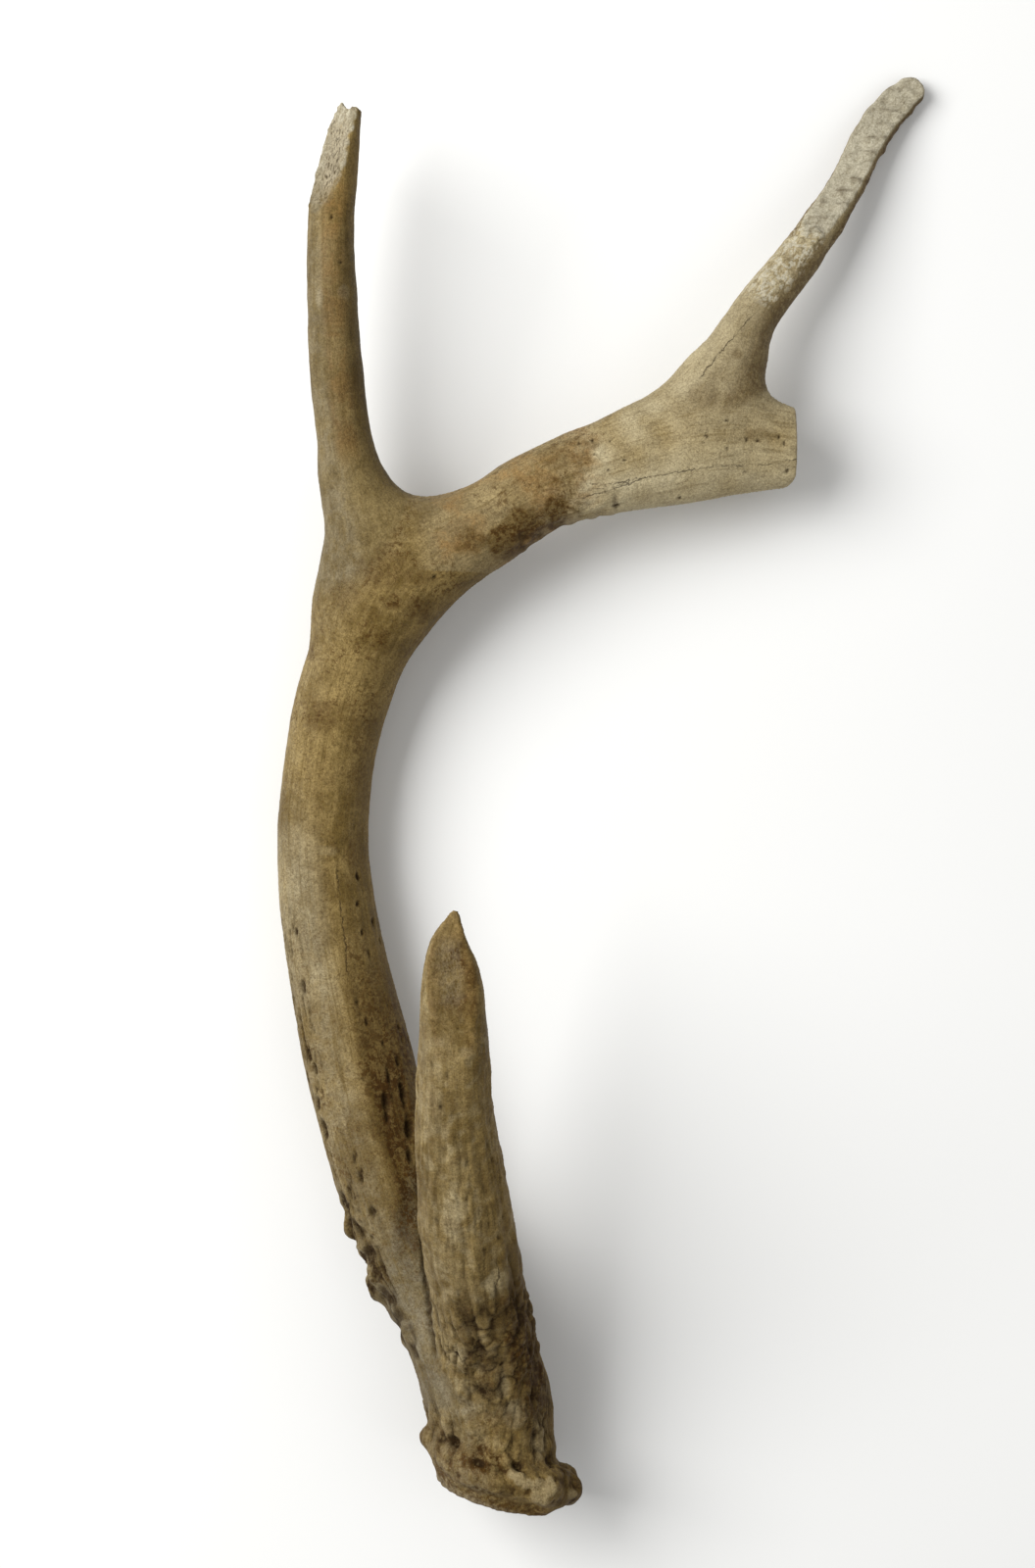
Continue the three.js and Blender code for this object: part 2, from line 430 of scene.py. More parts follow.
def cells(points, size, seed):
    """Cells about size mm: how far the nearest middle and the next are, and a number per cell."""
    shifted = points / size + (seed * 4.71, seed * 9.13, seed * 2.39)
    near = np.empty(len(points))
    following = np.empty(len(points))
    number = np.empty(len(points))
    for i, p in enumerate(shifted.tolist()):
        distances, middles = noise.voronoi(p)
        near[i], following[i] = distances[0], distances[1]
        x, y, z = middles[0]
        turn = x * SCRAMBLE[0] + y * SCRAMBLE[1] + z * SCRAMBLE[2]
        number[i] = (math.sin(turn) * SCRAMBLE_SCALE) % 1
    return near, following, number


def only(mask, work, coordinates):
    """Runs work on the points where mask is above zero and leaves the rest at zero."""
    chosen = mask > BARELY
    results = np.atleast_2d(work(coordinates[chosen]))
    filled = np.zeros((len(results), len(mask)))
    filled[:, chosen] = results
    return filled if len(filled) > 1 else filled[0]


def grain(reach, stretch):
    """A limb's own coordinates, squeezed along it so that noise on them runs lengthwise."""
    return np.column_stack([reach["side"], reach["above"], reach["along"] / stretch])


# Pits seen from above: x, y, length, width and depth in mm, then the way they run in degrees from +Y.
PITS = [
    (-69.6, -94.4, 7.4, 1.4, 1.0, 10),
    (-70.5, -101.9, 7.4, 2.9, 1.7, 10),
    (-70.3, -106.8, 4.8, 1.6, 1.0, 8),
    (-65.2, -99.4, 12.0, 2.0, 1.7, 10),
    (-62.9, -110.8, 8.6, 2.9, 2.2, 8),
    (-66.9, -89.6, 4.6, 1.4, 0.9, 10),
    (-62.9, -119.3, 5.6, 2.2, 1.3, 14),
    (-71.4, -83.6, 2.4, 1.1, 0.6, 8),
    (-98.0, -66.0, 5.6, 1.7, 1.2, 8),
    (-96.2, -87.6, 4.6, 1.5, 1.1, 12),
    (-94.2, -92.0, 4.2, 1.3, 1.0, 14),
    (-93.4, -103.8, 5.6, 1.5, 1.2, 10),
    (-91.6, -112.0, 8.4, 2.6, 1.8, 16),
    (-81.0, -120.4, 4.4, 1.2, 0.8, 12),
    (-78.8, -126.0, 5.6, 1.7, 1.0, 12),
    (-75.0, -137.4, 4.0, 2.6, 1.1, 20),
    (-84.6, -137.0, 11.0, 2.6, 1.6, 16),
    (-83.4, -143.0, 4.0, 2.2, 1.2, 30),
    (-80.2, -30.0, 3.2, 1.4, 0.7, 8),
    (-80.2, -39.0, 2.6, 1.6, 0.6, 0),
    (-75.4, -44.6, 3.6, 1.1, 0.6, 6),
    (-76.9, -76.6, 2.8, 1.0, 0.6, 10),
    (-80.4, -29.7, 3.2, 1.2, 0.7, 0),
    (-78.5, -48.1, 2.6, 1.0, 0.5, 4),
    (-100.2, -47.8, 3.2, 1.1, 0.6, 6),
    (-80.4, -119.0, 4.0, 1.0, 0.7, 14),
    (-78.5, -124.0, 3.4, 1.0, 0.6, 16),
    (-84.4, -138.6, 6.0, 1.5, 1.0, 18),
    (-82.6, -132.0, 4.0, 1.2, 0.8, 18),
    (-88.0, -126.5, 5.0, 1.3, 0.9, 20),
    (-49.2, -208.4, 3.8, 3.2, 2.0, 60),
    (-28.4, -215.2, 5.6, 3.6, 2.4, 75),
    (-40.6, -213.8, 3.6, 2.6, 0.9, 60),
    (-8.8, 108.8, 1.3, 0.9, 0.5, 60),
    (-4.7, 109.8, 1.6, 1.0, 0.5, 70),
    (0.9, 109.4, 1.2, 0.9, 0.4, 60),
    (-3.8, 105.1, 1.6, 1.1, 0.5, 70),
    (5.6, 103.2, 1.5, 1.0, 0.5, 70),
    (0.3, 100.1, 1.1, 0.8, 0.4, 70),
    (31.9, 111.0, 1.6, 1.1, 0.5, 60),
    (30.9, 109.1, 1.2, 1.0, 0.5, 60),
    (38.7, 107.3, 1.6, 1.0, 0.5, 40),
    (45.0, 110.4, 1.5, 1.2, 0.6, 60),
    (48.7, 110.1, 1.4, 1.1, 0.6, 60),
    (55.4, 111.6, 1.8, 1.1, 0.6, 10),
    (57.2, 109.6, 1.8, 1.0, 0.6, 10),
    (58.4, 100.8, 1.6, 1.2, 0.5, 0),
    (44.7, 100.1, 1.2, 0.8, 0.4, 60),
    (38.4, 116.3, 1.3, 0.9, 0.4, 60),
    (3.4, 89.2, 3.2, 0.7, 0.4, -75),
    (23.7, 92.0, 1.4, 0.9, 0.4, 80),
    (-55.1, 66.1, 1.5, 1.3, 0.7, 0),
    (-86.9, 178.4, 1.8, 1.2, 0.6, 0),
    (-84.2, 164.6, 1.1, 0.9, 0.4, 0),
]

# Brown blotches seen from above: x and y, half their width and height in mm, then how dark.
BLOTCHES = [
    (-70.2, 69.0, 8.0, 6.0, 0.45),
    (-68.0, 58.4, 2.6, 2.2, 0.95),
    (-71.8, 45.8, 2.6, 3.2, 0.9),
    (-59.6, 56.0, 4.0, 3.4, 0.7),
    (-60.0, 66.0, 4.4, 3.0, 0.5),
    (-95.8, 43.0, 2.0, 2.6, 0.6),
    (-83.0, 60.0, 5.0, 4.0, 0.4),
    (-91.0, 21.5, 6.0, 5.0, 0.6),
    (-80.0, 18.0, 4.0, 8.0, 0.5),
    (-78.4, 2.0, 4.0, 11.0, 0.45),
    (-80.0, -22.0, 3.4, 11.0, 0.4),
    (-92.0, 2.0, 5.0, 7.0, 0.25),
    (-42.0, 78.0, 6.0, 4.0, 0.7),
    (-33.0, 79.0, 7.0, 5.0, 1.0),
    (-25.0, 83.0, 6.6, 6.0, 1.0),
    (-17.0, 88.0, 6.0, 4.6, 0.95),
    (-27.0, 75.0, 9.0, 2.6, 1.0),
    (-14.0, 82.6, 6.0, 1.6, 0.9),
    (-12.0, 95.0, 5.4, 4.4, 0.5),
    (-20.0, 96.0, 6.0, 5.0, 0.4),
    (-17.0, 103.6, 6.0, 4.4, 0.45),
    (-29.0, 93.0, 5.4, 4.4, 0.35),
    (-8.4, 103.0, 3.4, 2.6, 0.5),
    (-8.6, 109.0, 4.0, 2.4, 0.4),
    (-5.0, 108.4, 3.6, 2.0, 0.35),
    (31.5, 124.0, 5.0, 4.0, 0.25),
    (41.0, 123.4, 3.0, 2.4, 0.4),
    (48.6, 112.0, 4.0, 2.4, 0.35),
    (-84.6, 150.0, 7.0, 9.0, 0.2),
    (-80.0, 126.0, 5.0, 9.0, 0.35),
    (-83.0, 112.0, 5.0, 6.0, 0.3),
    (42.2, 138.2, 1.6, 1.6, 0.35),
    (45.2, 129.0, 1.8, 1.8, 0.35),
    (-40.0, -213.0, 5.4, 3.6, 0.8),
    (-44.0, -170.0, 3.0, 10.0, 0.4),
    (-27.0, -178.0, 5.0, 14.0, 0.7),
    (-22.0, -196.0, 5.0, 12.0, 0.7),
    (-37.0, -186.0, 4.0, 10.0, 0.45),
    (-30.0, -162.0, 4.0, 8.0, 0.45),
    (-36.0, -201.0, 6.0, 4.0, 0.5),
    (-46.6, -52.0, 3.6, 4.0, 0.5),
    (-45.6, -66.0, 4.4, 3.4, 0.35),
    (-42.0, -57.0, 1.8, 4.0, 0.35),
]

# Pale patches, in the same way.
PALE = [
    (-54.4, -82.0, 3.4, 8.0, 0.12),
    (-54.0, -98.0, 3.8, 9.0, 0.12),
    (-34.8, -153.7, 3.2, 5.0, 0.45),
    (-48.0, -131.0, 3.0, 8.0, 0.35),
    (-29.0, -199.0, 3.4, 5.0, 0.4),
    (-21.6, -207.0, 2.4, 8.0, 0.55),
    (-46.4, -178.0, 2.4, 3.4, 0.4),
    (-33.0, -189.0, 2.4, 4.0, 0.4),
    (-21.6, 80.4, 3.2, 2.2, 0.75),
    (-13.6, 85.6, 2.6, 1.8, 0.7),
    (-17.6, 93.4, 2.4, 1.2, 0.5),
    (-91.0, 153.8, 1.2, 3.4, 0.3),
    (-83.4, 155.4, 1.6, 2.4, 0.3),
    (-94.0, -21.4, 7.0, 1.6, 0.16),
]

# Flat pale lobes on the burr seen from above: x, y and radius in mm.
LOBES = [
    (-30.0, -217.2, 1.7),
    (-27.8, -218.6, 2.2),
    (-25.6, -220.4, 1.7),
    (-22.0, -221.4, 2.6),
    (-19.0, -223.0, 2.6),
    (-18.4, -220.6, 1.6),
    (-22.4, -224.4, 2.4),
    (-20.4, -226.4, 1.6),
    (-11.4, -226.8, 1.7),
]

# Hairline cracks seen from above, in mm.
CRACKS = [
    [(-86.7, -28.0), (-85.2, -42.0), (-83.9, -52.0), (-83.4, -60.0)],
    [(-7.2, 91.5), (4.1, 94.7), (9.7, 97.2), (22.3, 99.7), (38.0, 101.9), (53.6, 102.8), (61.5, 104.9)],
    [(-6.4, 95.6), (2.0, 95.6), (9.7, 97.6)],
    [(30.5, 131.0), (36.8, 138.9), (46.3, 149.9)],
    [(-34.6, -147.0), (-34.4, -152.0), (-35.8, -158.0)],
]

# The crest down the lower beam: it parts the upper face from the flank beside the brow tine, which is
# stained and painted darker as shade.
CREST = [
    (-88.0, -20.0),
    (-84.6, -50.0),
    (-82.6, -69.0),
    (-78.2, -94.0),
    (-73.5, -113.0),
    (-67.0, -131.0),
]

# The crease where the brow tine's root rises from the web beside it, seen from above.
CREASE = [(-59.6, -125.0), (-59.0, -138.0), (-58.2, -155.0), (-56.4, -172.0), (-55.0, -180.0)]


def right_of(points, line):
    """How far points are to the right of a line that runs down the bone, seen from above, in mm."""
    line_x, line_y = zip(*reversed(line))
    return points[:, 0] - np.interp(points[:, 1], line_y, line_x)


def crack_distance(points):
    """How far points are from the nearest crack seen from above, below zero on its left, in mm."""
    nearest = np.full(len(points), 1e3)
    for line in CRACKS:
        for (x0, y0), (x1, y1) in zip(line, line[1:]):
            run = np.array([x1 - x0, y1 - y0])
            away = points[:, :2] - (x0, y0)
            t = capped(away @ run / (run @ run))
            gap = np.hypot(*(away - t[:, None] * run).T)
            left = away[:, 1] * run[0] - away[:, 0] * run[1] > 0
            nearest = np.where(gap < np.abs(nearest), np.where(left, -gap, gap), nearest)
    return nearest


def patches(points, listed, ragged, soft):
    """The strongest of the listed patches at each point, with ragged edges."""
    strength = np.zeros(len(points))
    for x, y, half_width, half_height, strong in listed:
        out = np.hypot((points[:, 0] - x) / half_width, (points[:, 1] - y) / half_height)
        strength = np.maximum(strength, strong * fade(out + ragged * 0.6, 1 + soft, 1 - soft))
    return strength


def pit_wear(points, ragged):
    """The listed pits: how deep each point sinks, and how dark it is."""
    depth = np.zeros(len(points))
    dark = np.zeros(len(points))
    for x, y, length, width, deep, turn in PITS:
        angle = math.radians(turn)
        dx, dy = points[:, 0] - x, points[:, 1] - y
        lengthwise = dy * math.cos(angle) - dx * math.sin(angle)
        sideways = dx * math.cos(angle) + dy * math.sin(angle)
        inside = np.hypot(lengthwise / (length / 2), sideways / (width / 2)) + ragged * 0.3
        depth = np.maximum(depth, deep * fade(inside, 1.25, 0.2))
        dark = np.maximum(dark, fade(inside, 1.15, 0.35))
    return depth, dark


def facet_of(reach, tip_break, ragged):
    """How near a limb's surface is to being the break at its tip, 0 to 1."""
    return fade(past_break(reach, tip_break) + ragged, -0.9, -0.25)


# How far apart in mm the wear repeats, and how much longer than wide it is along the bone.
NEAR_TINE = 8  # how far from a tine's surface its own wear reaches
BEAD_SPACING = 4.5
BEAD_RADIUS = 0.66  # of the spacing
PIT_SPACING = 3.6
PIT_STRETCH = 2.4
SLIT_SPACING = 1.9
SLIT_STRETCH = 7
SPONGE_SPACING = 1.5
SCALLOP_LENGTH = 5.6
CRACK_REACH = 9  # past this a crack leaves no mark
GRAIN_APART = 200  # keeps the grain of one tine from matching another's


def wear(points, normal, reaches, sizes):
    """How far each point rises or sinks in mm, and the shares of each finish and of painted shade on
    it.
    """
    beam, brow, second, third = reaches
    x, y, z = points.T
    nx, ny, nz = normal.T
    across, high, along = beam["across"], beam["high"], beam["along"]
    tine_gap = np.minimum(np.minimum(brow["gap"], second["gap"]), third["gap"])
    tine_mix = fade(beam["gap"] - tine_gap, -2.5, 2.5)
    on_brow, on_second, on_third = (
        fade(beam["gap"] - limb["gap"], -2, 2) * (limb["gap"] < NEAR_TINE)
        for limb in (brow, second, third)
    )
    on_beam = 1 - tine_mix
    nearest = np.where(brow["gap"] <= tine_gap, 0, np.where(second["gap"] <= tine_gap, 1, 2))
    tine = {key: np.choose(nearest, [brow[key], second[key], third[key]]) for key in brow}
    up = fade(nz, -0.1, 0.2)

    def runs(size, stretch, seed):
        """Noise that runs along the limb that a point is on."""
        along_beam = rough(grain(beam, stretch), size, seed)
        along_tine = rough(grain(tine, stretch), size, seed + 1)
        return along_beam * on_beam + along_tine * tine_mix

    # Noise from broad to tiny: the size of its features in mm and its seed.
    broad = rough(points, 19, 1)
    middling = rough(points, 7, 2)
    lumps = rough(points, 4.4, 12)
    small = rough(points, 2.6, 3)
    tiny = rough(points, 1.3, 4)
    wide_strands = runs(4.2, 8, 15)
    strands = runs(2.2, 10, 5)
    fine_strands = runs(1.2, 8, 7)
    ragged = middling * 0.7 + small * 0.9 + tiny * 0.4

    # Where the bone is rough: round the base of the beam, and the root of the brow tine.
    base = fade(y, -118, -165)
    flank = fade(np.abs(across), 0.45, 0.85) * fade(high, -1.3, -0.2)
    under = fade(high, 0.1, -0.5)
    left_edge = fade(across, -0.55, -0.85) * on_beam
    web = band(y, -192, -128, 12) * fade(x - 0.27 * (y + 160), -76, -70) * (1 - on_brow) * up
    root = on_brow * fade(brow["along"], 62, 42)
    burr_height = (points - BURR_CENTRE) @ BURR_AXIS
    burr_zone = fade(burr_height, 12, 5)
    seat = fade(burr_height, -3.6, -5.4)
    ring = burr_zone * (1 - seat)
    neck = fade(y, -186, -200) * fade(burr_height, 1, 5) * fade(nz, 0.0, 0.4)
    pearled = capped(root + base * (under + 0.7 * left_edge) * fade(y, -135, -152))
    pearled = np.maximum(pearled * (1 - 0.6 * burr_zone) * (1 - seat), 0.85 * neck) * (1 - web)
    edge_lumps = left_edge * band(y, -182, -138, 8)

    # Broken bone: the breaks at the three tips and the sawn end.
    brow_facet = facet_of(brow, BROW_BREAK, 0.2 * small)
    brow_facet *= on_brow * (brow["from_tip"] < 60)
    second_facet = facet_of(second, SECOND_BREAK, 0.9 * small + 0.6 * lumps)
    second_facet *= on_second * (second["from_tip"] < 60)
    third_facet = facet_of(third, THIRD_BREAK, 0.2 * small)
    third_facet *= on_third * (third["from_tip"] < 90)
    sawn = fade(x, SAWN_X - 0.7, SAWN_X - 0.25) * (y < 128)
    whole = 1 - capped(brow_facet + second_facet + third_facet + sawn)

    height = (broad * 0.40 + middling * 0.16) * (1 - 0.8 * sawn)
    hollow = np.zeros(len(points))

    # Lengthwise ridges and grooves.
    ridged = (
        0.12
        + 0.9 * on_brow * fade(brow["from_tip"], 44, 74)
        + 0.8 * base * (1 - web)
        + 0.35 * flank * fade(along, 235, 190)
        + 0.15 * on_second
    ) * whole * (1 - 0.6 * burr_zone)
    groove = fade(np.abs(strands), 0.24, 0.0) * fade(middling + broad, -0.5, 0.2)
    ridge = 0.9 * wide_strands - 0.55 * groove + 0.25 * fine_strands
    height += sizes.ridge_height / MM * ridged * ridge
    lined = capped(ridged - 0.2) * (1 - 0.5 * on_brow * (1 - root))
    hollow += lined * (0.40 * groove + 0.28 * fade(wide_strands, -0.1, -0.55))
    height += 0.35 * lumps * on_brow * fade(brow["from_tip"], 30, 60) * (1 - root)

    # Pearls: rounded beads, longer than wide, with shallow hollows between them.
    def beads(coordinates):
        near, following, number = cells(coordinates, BEAD_SPACING, 3)
        bead = capped(1 - (near / BEAD_RADIUS) ** 2) * (0.2 + 0.8 * number)
        return bead, fade(following - near, 0.22, 0.0) * (number > 0.2)

    wander = np.column_stack([small, middling, lumps]) * 1.6
    bead, crevice = only(pearled, beads, points * (1, 0.55, 1) + wander)
    height += sizes.pearl_height / MM * pearled * (bead - 0.30 - 0.30 * crevice + 0.35 * lumps)
    hollow += pearled * (crevice * 0.5 + fade(bead, 0.34, 0.0) * 0.5) * fade(middling, -0.6, 0.2)

    # The ragged left edge of the trunk, with dark crevices.
    height += edge_lumps * (1.1 * rough(points, 6.0, 17) + 0.7 * lumps + 0.3 * small)
    hollow += edge_lumps * fade(lumps + 0.5 * small, 0.2, -0.3) * 0.85

    # The burr: lobes and hollows round the ring, and a grainy seat.
    height += ring * (0.75 * rough(points, 6.2, 9) + 0.45 * lumps + 0.16 * small)
    hollow += ring * 0.5 * fade(lumps + 0.5 * small, -0.12, -0.5)
    height += seat * (0.35 * lumps + 0.22 * small + 0.12 * tiny)
    lobed = np.full(len(points), -9.0)
    for lobe_x, lobe_y, radius in LOBES:
        lobed = np.maximum(lobed, radius - np.hypot(x - lobe_x, y - lobe_y))
    lobed = fade(lobed + 0.5 * small, -0.35, 0.35) * burr_zone * fade(nz, 0.2, 0.5)
    height = height * (1 - 0.85 * lobed) + 0.6 * lobed
    hollow *= 1 - lobed

    # The crease beside the brow tine's root, sunk and darkened as painted shadow where the root
    # overhangs the web.
    crease = right_of(points, CREASE) + 0.5 * small
    trench = np.exp(-(crease**2) / 0.5) * band(y, -178, -124, 9) * (z < 54) * up
    height -= trench * 1.3
    hollow += trench * 0.9

    # The crest down the lower beam, and the hollowed flank beside it, darker with brown stain and
    # painted shade.
    past_crest = right_of(points, CREST) + 0.9 * middling
    by_crest = band(y, -132, -68, 30) * on_beam * up
    crest = 0.2 * np.exp(-((past_crest + 1.2) ** 2) / 9)
    height += by_crest * (crest - 0.6 * band(past_crest, 4, 9, 4))
    beyond_crest = by_crest * fade(past_crest, -2.5, 2.5)
    # Painted shadow: how near the beam lies to the brow tine that shades it.
    shadow_beside_brow = fade(brow["gap"] - 0.6 * middling, 13, 3) * band(y, -140, -60, 14) * on_beam

    # Pits: the listed ones, and small ones scattered along the flanks and the underside.
    off_brow = up * (1 - on_brow * (y > -190))
    depth, dark = pit_wear(points, small + 0.5 * tiny)
    height -= depth * off_brow
    hollow += dark * off_brow
    pitted = (
        0.55 * flank * band(along, 70, 215, 20)
        + 0.9 * fade(across, -0.5, -0.75) * band(y, -150, -52, 20) * on_beam
        + 0.5 * beyond_crest * fade(y, -50, -80)
        + 0.6 * under * fade(along, 220, 130)
        + 0.2 * left_edge * base
        + 0.08
    ) * (1 - web) * whole

    def scattered(coordinates):
        near, _, number = cells(coordinates, PIT_SPACING, 5)
        return fade(near, 0.20 + 0.08 * number, 0.05) * (number > 0.5)

    def slit_cells(coordinates):
        near, _, number = cells(coordinates, SLIT_SPACING, 6)
        return fade(near, 0.26 + 0.16 * number, 0.1) * (number > 0.25)

    slit_zone = fade(across + 0.12 * middling, -0.50, -0.70) * band(y, -158, -52, 16) * on_beam * up
    slits = only(slit_zone, slit_cells, grain(beam, SLIT_STRETCH))
    slits *= slit_zone * fade(middling + small, -0.5, 0.2)
    lines = slit_zone * fade(np.abs(strands), 0.16, 0.02) * fade(middling + small, -0.2, 0.2)
    slits = np.maximum(slits, lines)
    height -= 0.7 * slits
    hollow += 0.9 * slits

    beam_pits = only(pitted * (tine_mix < 0.5), scattered, grain(beam, PIT_STRETCH))
    tine_pits = only(pitted * (tine_mix >= 0.5), scattered, grain(tine, PIT_STRETCH))
    pits = (beam_pits + tine_pits) * fade(pitted, 0.05, 0.5)
    height -= sizes.pit_depth / MM * pits
    hollow += pits * 0.75

    # Broken and gnawed bone: spongy pores on the brow and second tips, scallops on the third.
    def sponge(coordinates):
        near, _, _ = cells(coordinates, SPONGE_SPACING, 7)
        return fade(near, 0.42, 0.1)

    spongy_core = fade(np.abs(second["side"] + small), 4.5, 2.0)
    spongy_core *= band(second["from_tip"] + 3 * middling, 8, 24, 4)
    pore_zone = capped(brow_facet + second_facet + sawn)
    pores = only(pore_zone, sponge, points * (1, 0.4, 1) + 0.2 * wander)
    pores *= fade(middling + small, -0.7, 0.3)
    in_sawn = fade(beam["gap"], -2.0, -3.4) * sawn
    height -= pores * (0.2 * second_facet * spongy_core + 0.10 * brow_facet + 0.35 * in_sawn)
    splinters = second_facet * (0.1 * strands + 0.3 * small + 0.2 * tiny)
    height += splinters + brow_facet * (0.3 * small + 0.5 * lumps)

    bite = third["from_tip"] / SCALLOP_LENGTH + 0.55 * middling + 0.07 * third["side"] + 0.12 * small
    bowl = 1 - np.abs(np.sin(math.pi * bite))
    inside = fade(np.abs(third["across"]), 0.95, 0.45)
    rims = fade(bowl, 0.66, 0.95) * fade(lumps, -0.5, 0.1) * fade(third["across"], -0.7, 0.1)
    height += third_facet * (0.5 * (bowl - 0.4) * inside + 0.4 * lumps + 0.15 * small)

    # The rough, lumpy zone below the third tine's gnawed face.
    lumpy = on_third * band(third["from_tip"] + 3 * middling, 62, 90, 6) * fade(nz, 0.1, 0.5)
    lumpy *= fade(third["across"] + 0.25 * small, 0.62, 0.25)
    height += lumpy * (0.5 * rough(points, 3.4, 13) + 0.35 * small + 0.2 * tiny)

    # The gnawed part of the third tine is thinner, with wavy edges.
    gnawed = on_third * fade(third["from_tip"], 70, 65) * (1 - third_facet)
    height += gnawed * (0.45 * lumps + 0.2 * small - 0.1)

    # The second tine's ragged end.
    ragged_end = on_second * fade(second["from_tip"], 8, 3)
    height += ragged_end * (small * 0.5 + tiny * 0.4)

    # The lower edge of the upper beam: low nodules and hollows.
    nodules = band(x, -26, 2, 5) * fade(across, 0.45, 0.85) * on_beam * (y > 60)
    height += nodules * 0.75 * lumps + nodules * 0.2 * small
    hollow += nodules * 0.6 * fade(lumps, -0.15, -0.5)

    # The ledge where a thin outer layer has peeled off the beam.
    peel_line = y + 21.2 - 0.33 * (x + 94) - 1.2 * middling - 0.8 * small
    peel = band(x, -101, -84, 3) * up
    height += peel * fade(peel_line, -0.4, 0.4) * fade(peel_line, 8, 1) * 0.28
    height += small * 0.07 + tiny * 0.05

    # Finishes, and painted shade.
    stain = patches(points, BLOTCHES, ragged, 0.5) * up
    ring_line = y - 25.9 + 0.05 * (x + 85) - 0.7 * middling
    ring_mark = np.exp(-(ring_line**2) / 0.4) * band(x, -99, -75, 3) * 0.55 * up
    stain = np.maximum(stain, ring_mark)
    # Brown stain and painted shade on the flank beyond the crest, and painted shadow beside the brow
    # tine.
    flank_stain_and_shade = (0.75 + 0.25 * fade(y, -50, -85)) * beyond_crest + 0.9 * shadow_beside_brow
    stain = capped(stain + flank_stain_and_shade * (0.85 + 0.5 * wide_strands))
    stain = capped(stain + 0.35 * root * fade(x + 0.25 * y, -80, -70))
    stain = np.maximum(stain, 0.75 * gnawed * fade(nz, 0.75, 0.4))
    third_edge = fade(third["across"], 0.1, 0.7)
    stain = np.maximum(stain, 0.55 * on_third * third_edge * fade(third["from_tip"], 60, 68))
    marks = third_facet * (0.6 * rims + 0.3 * fade(lumps + 0.6 * small, 0.3, 0.6))
    stain = np.maximum(stain, 0.5 * marks)
    mottled = on_brow * fade(brow["from_tip"], 16, 40)
    stain = capped(stain + 0.3 * mottled * fade(lumps + small, 0.0, 0.6))
    stain = capped(stain + 0.4 * ring * fade(small + lumps, 0.2, -0.5))
    stain = capped(stain + 0.44 * burr_zone + 0.04 * root) * (1 - 0.7 * lobed)
    # Darker bone on the tines, seat and beam; on the web beside the brow tine it is painted shade.
    dulled = 0.14 * on_second * fade(second["from_tip"], 36, 60) + 0.14 * web
    dulled += 0.1 * on_third * (1 - third_facet)
    dulled += brow_facet * (0.16 + 0.3 * band(brow["from_tip"], 9, 26, 5)) + 0.42 * seat
    dulled += 0.16 * on_beam * band(y, -130, -72, 14) * fade(across, 0.1, -0.4)
    stain = capped(stain + dulled)

    edge_of_pale = x - 0.35 * (y - 95) + 7 * middling + 4 * small + 6 * broad
    bleach = fade(edge_of_pale, -24, 14) * (y > 60) * (1 - 0.5 * on_third)
    bleach *= 0.56 + 0.3 * middling + 0.25 * broad + 0.36 * fade(across, -0.1, 0.5)
    bleach *= 1 - 0.25 * band(x, 26, 70, 12) * (y > 60) * on_beam
    bleach = capped(bleach + on_third * (0.12 + 0.3 * fade(third["across"], 0.2, -0.7)))
    bleach += lumpy * fade(small + lumps, -0.2, 0.4) * 0.4
    bleach += 0.2 * mottled * fade(lumps + small, -0.1, -0.6)
    bleach += 0.24 * band(x, -52, -6, 12) * (y > 68) * on_beam
    bleach += 0.22 * band(y, -64, -22, 14) * fade(across, 0.2, -0.3) * on_beam
    bleach = np.maximum(bleach, third_facet)
    bleach = np.maximum(bleach, patches(points, PALE, small * 0.7, 0.3) * up)
    bleach = np.maximum(bleach, pearled * fade(bead, 0.35, 0.8) * 0.16)
    bleach = np.maximum(bleach, 0.38 * lobed)
    bleach *= 1 - 0.8 * stain

    grey = capped(
        fade(across, 0.3, -0.5) * fade(y, 10, -50) * (1 - 0.8 * beyond_crest) * on_beam
        + 0.5 * fade(across, 0.0, -0.9) * on_beam * (1 - 0.8 * band(x, -50, 0, 10) * (y > 60))
        + 0.9 * web
        + 0.55 * on_brow * fade(brow["side"], 9, -6)
        + 0.8 * on_second * fade(second["side"] + 2 * middling, 3, -6)
        + 0.6 * on_third
        + 0.15 * bleach * (x > -20)
    )
    brown_edge = fade(broad + middling, -0.3, 0.4) * on_beam
    rust = capped(
        brow_facet * fade(np.abs(brow["side"] + small), 2.5, 5.5) * 0.25
        + brow_facet * fade(brow["from_tip"], 10, 4) * 0.35
        + 0.6 * band(x + 6 * middling + 4 * small, -48, -8, 10) * (y > 70) * brown_edge
        + on_second * band(y, 110, 184, 12) * fade(np.abs(second["side"] - 1), 5, 2) * 0.55
    )
    chalky = second_facet * fade(second["from_tip"] + 3 * middling, 34, 10)
    bleach = np.maximum(bleach, 0.7 * chalky)
    second_core = second_facet * fade(second["gap"] + 0.5 * small, -0.3, -1.2)
    brow_core = brow_facet * band(brow["from_tip"], 11, 24, 5)
    marrow = capped(
        second_core * (0.1 + 0.75 * spongy_core + 0.35 * fade(second["from_tip"], 18, 30))
        + brow_core * fade(np.abs(brow["side"] + small), 4.5, 1.5) * 0.22
        + in_sawn
        + 0.35 * seat * fade(burr_height, -7.6, -9.0)
    )
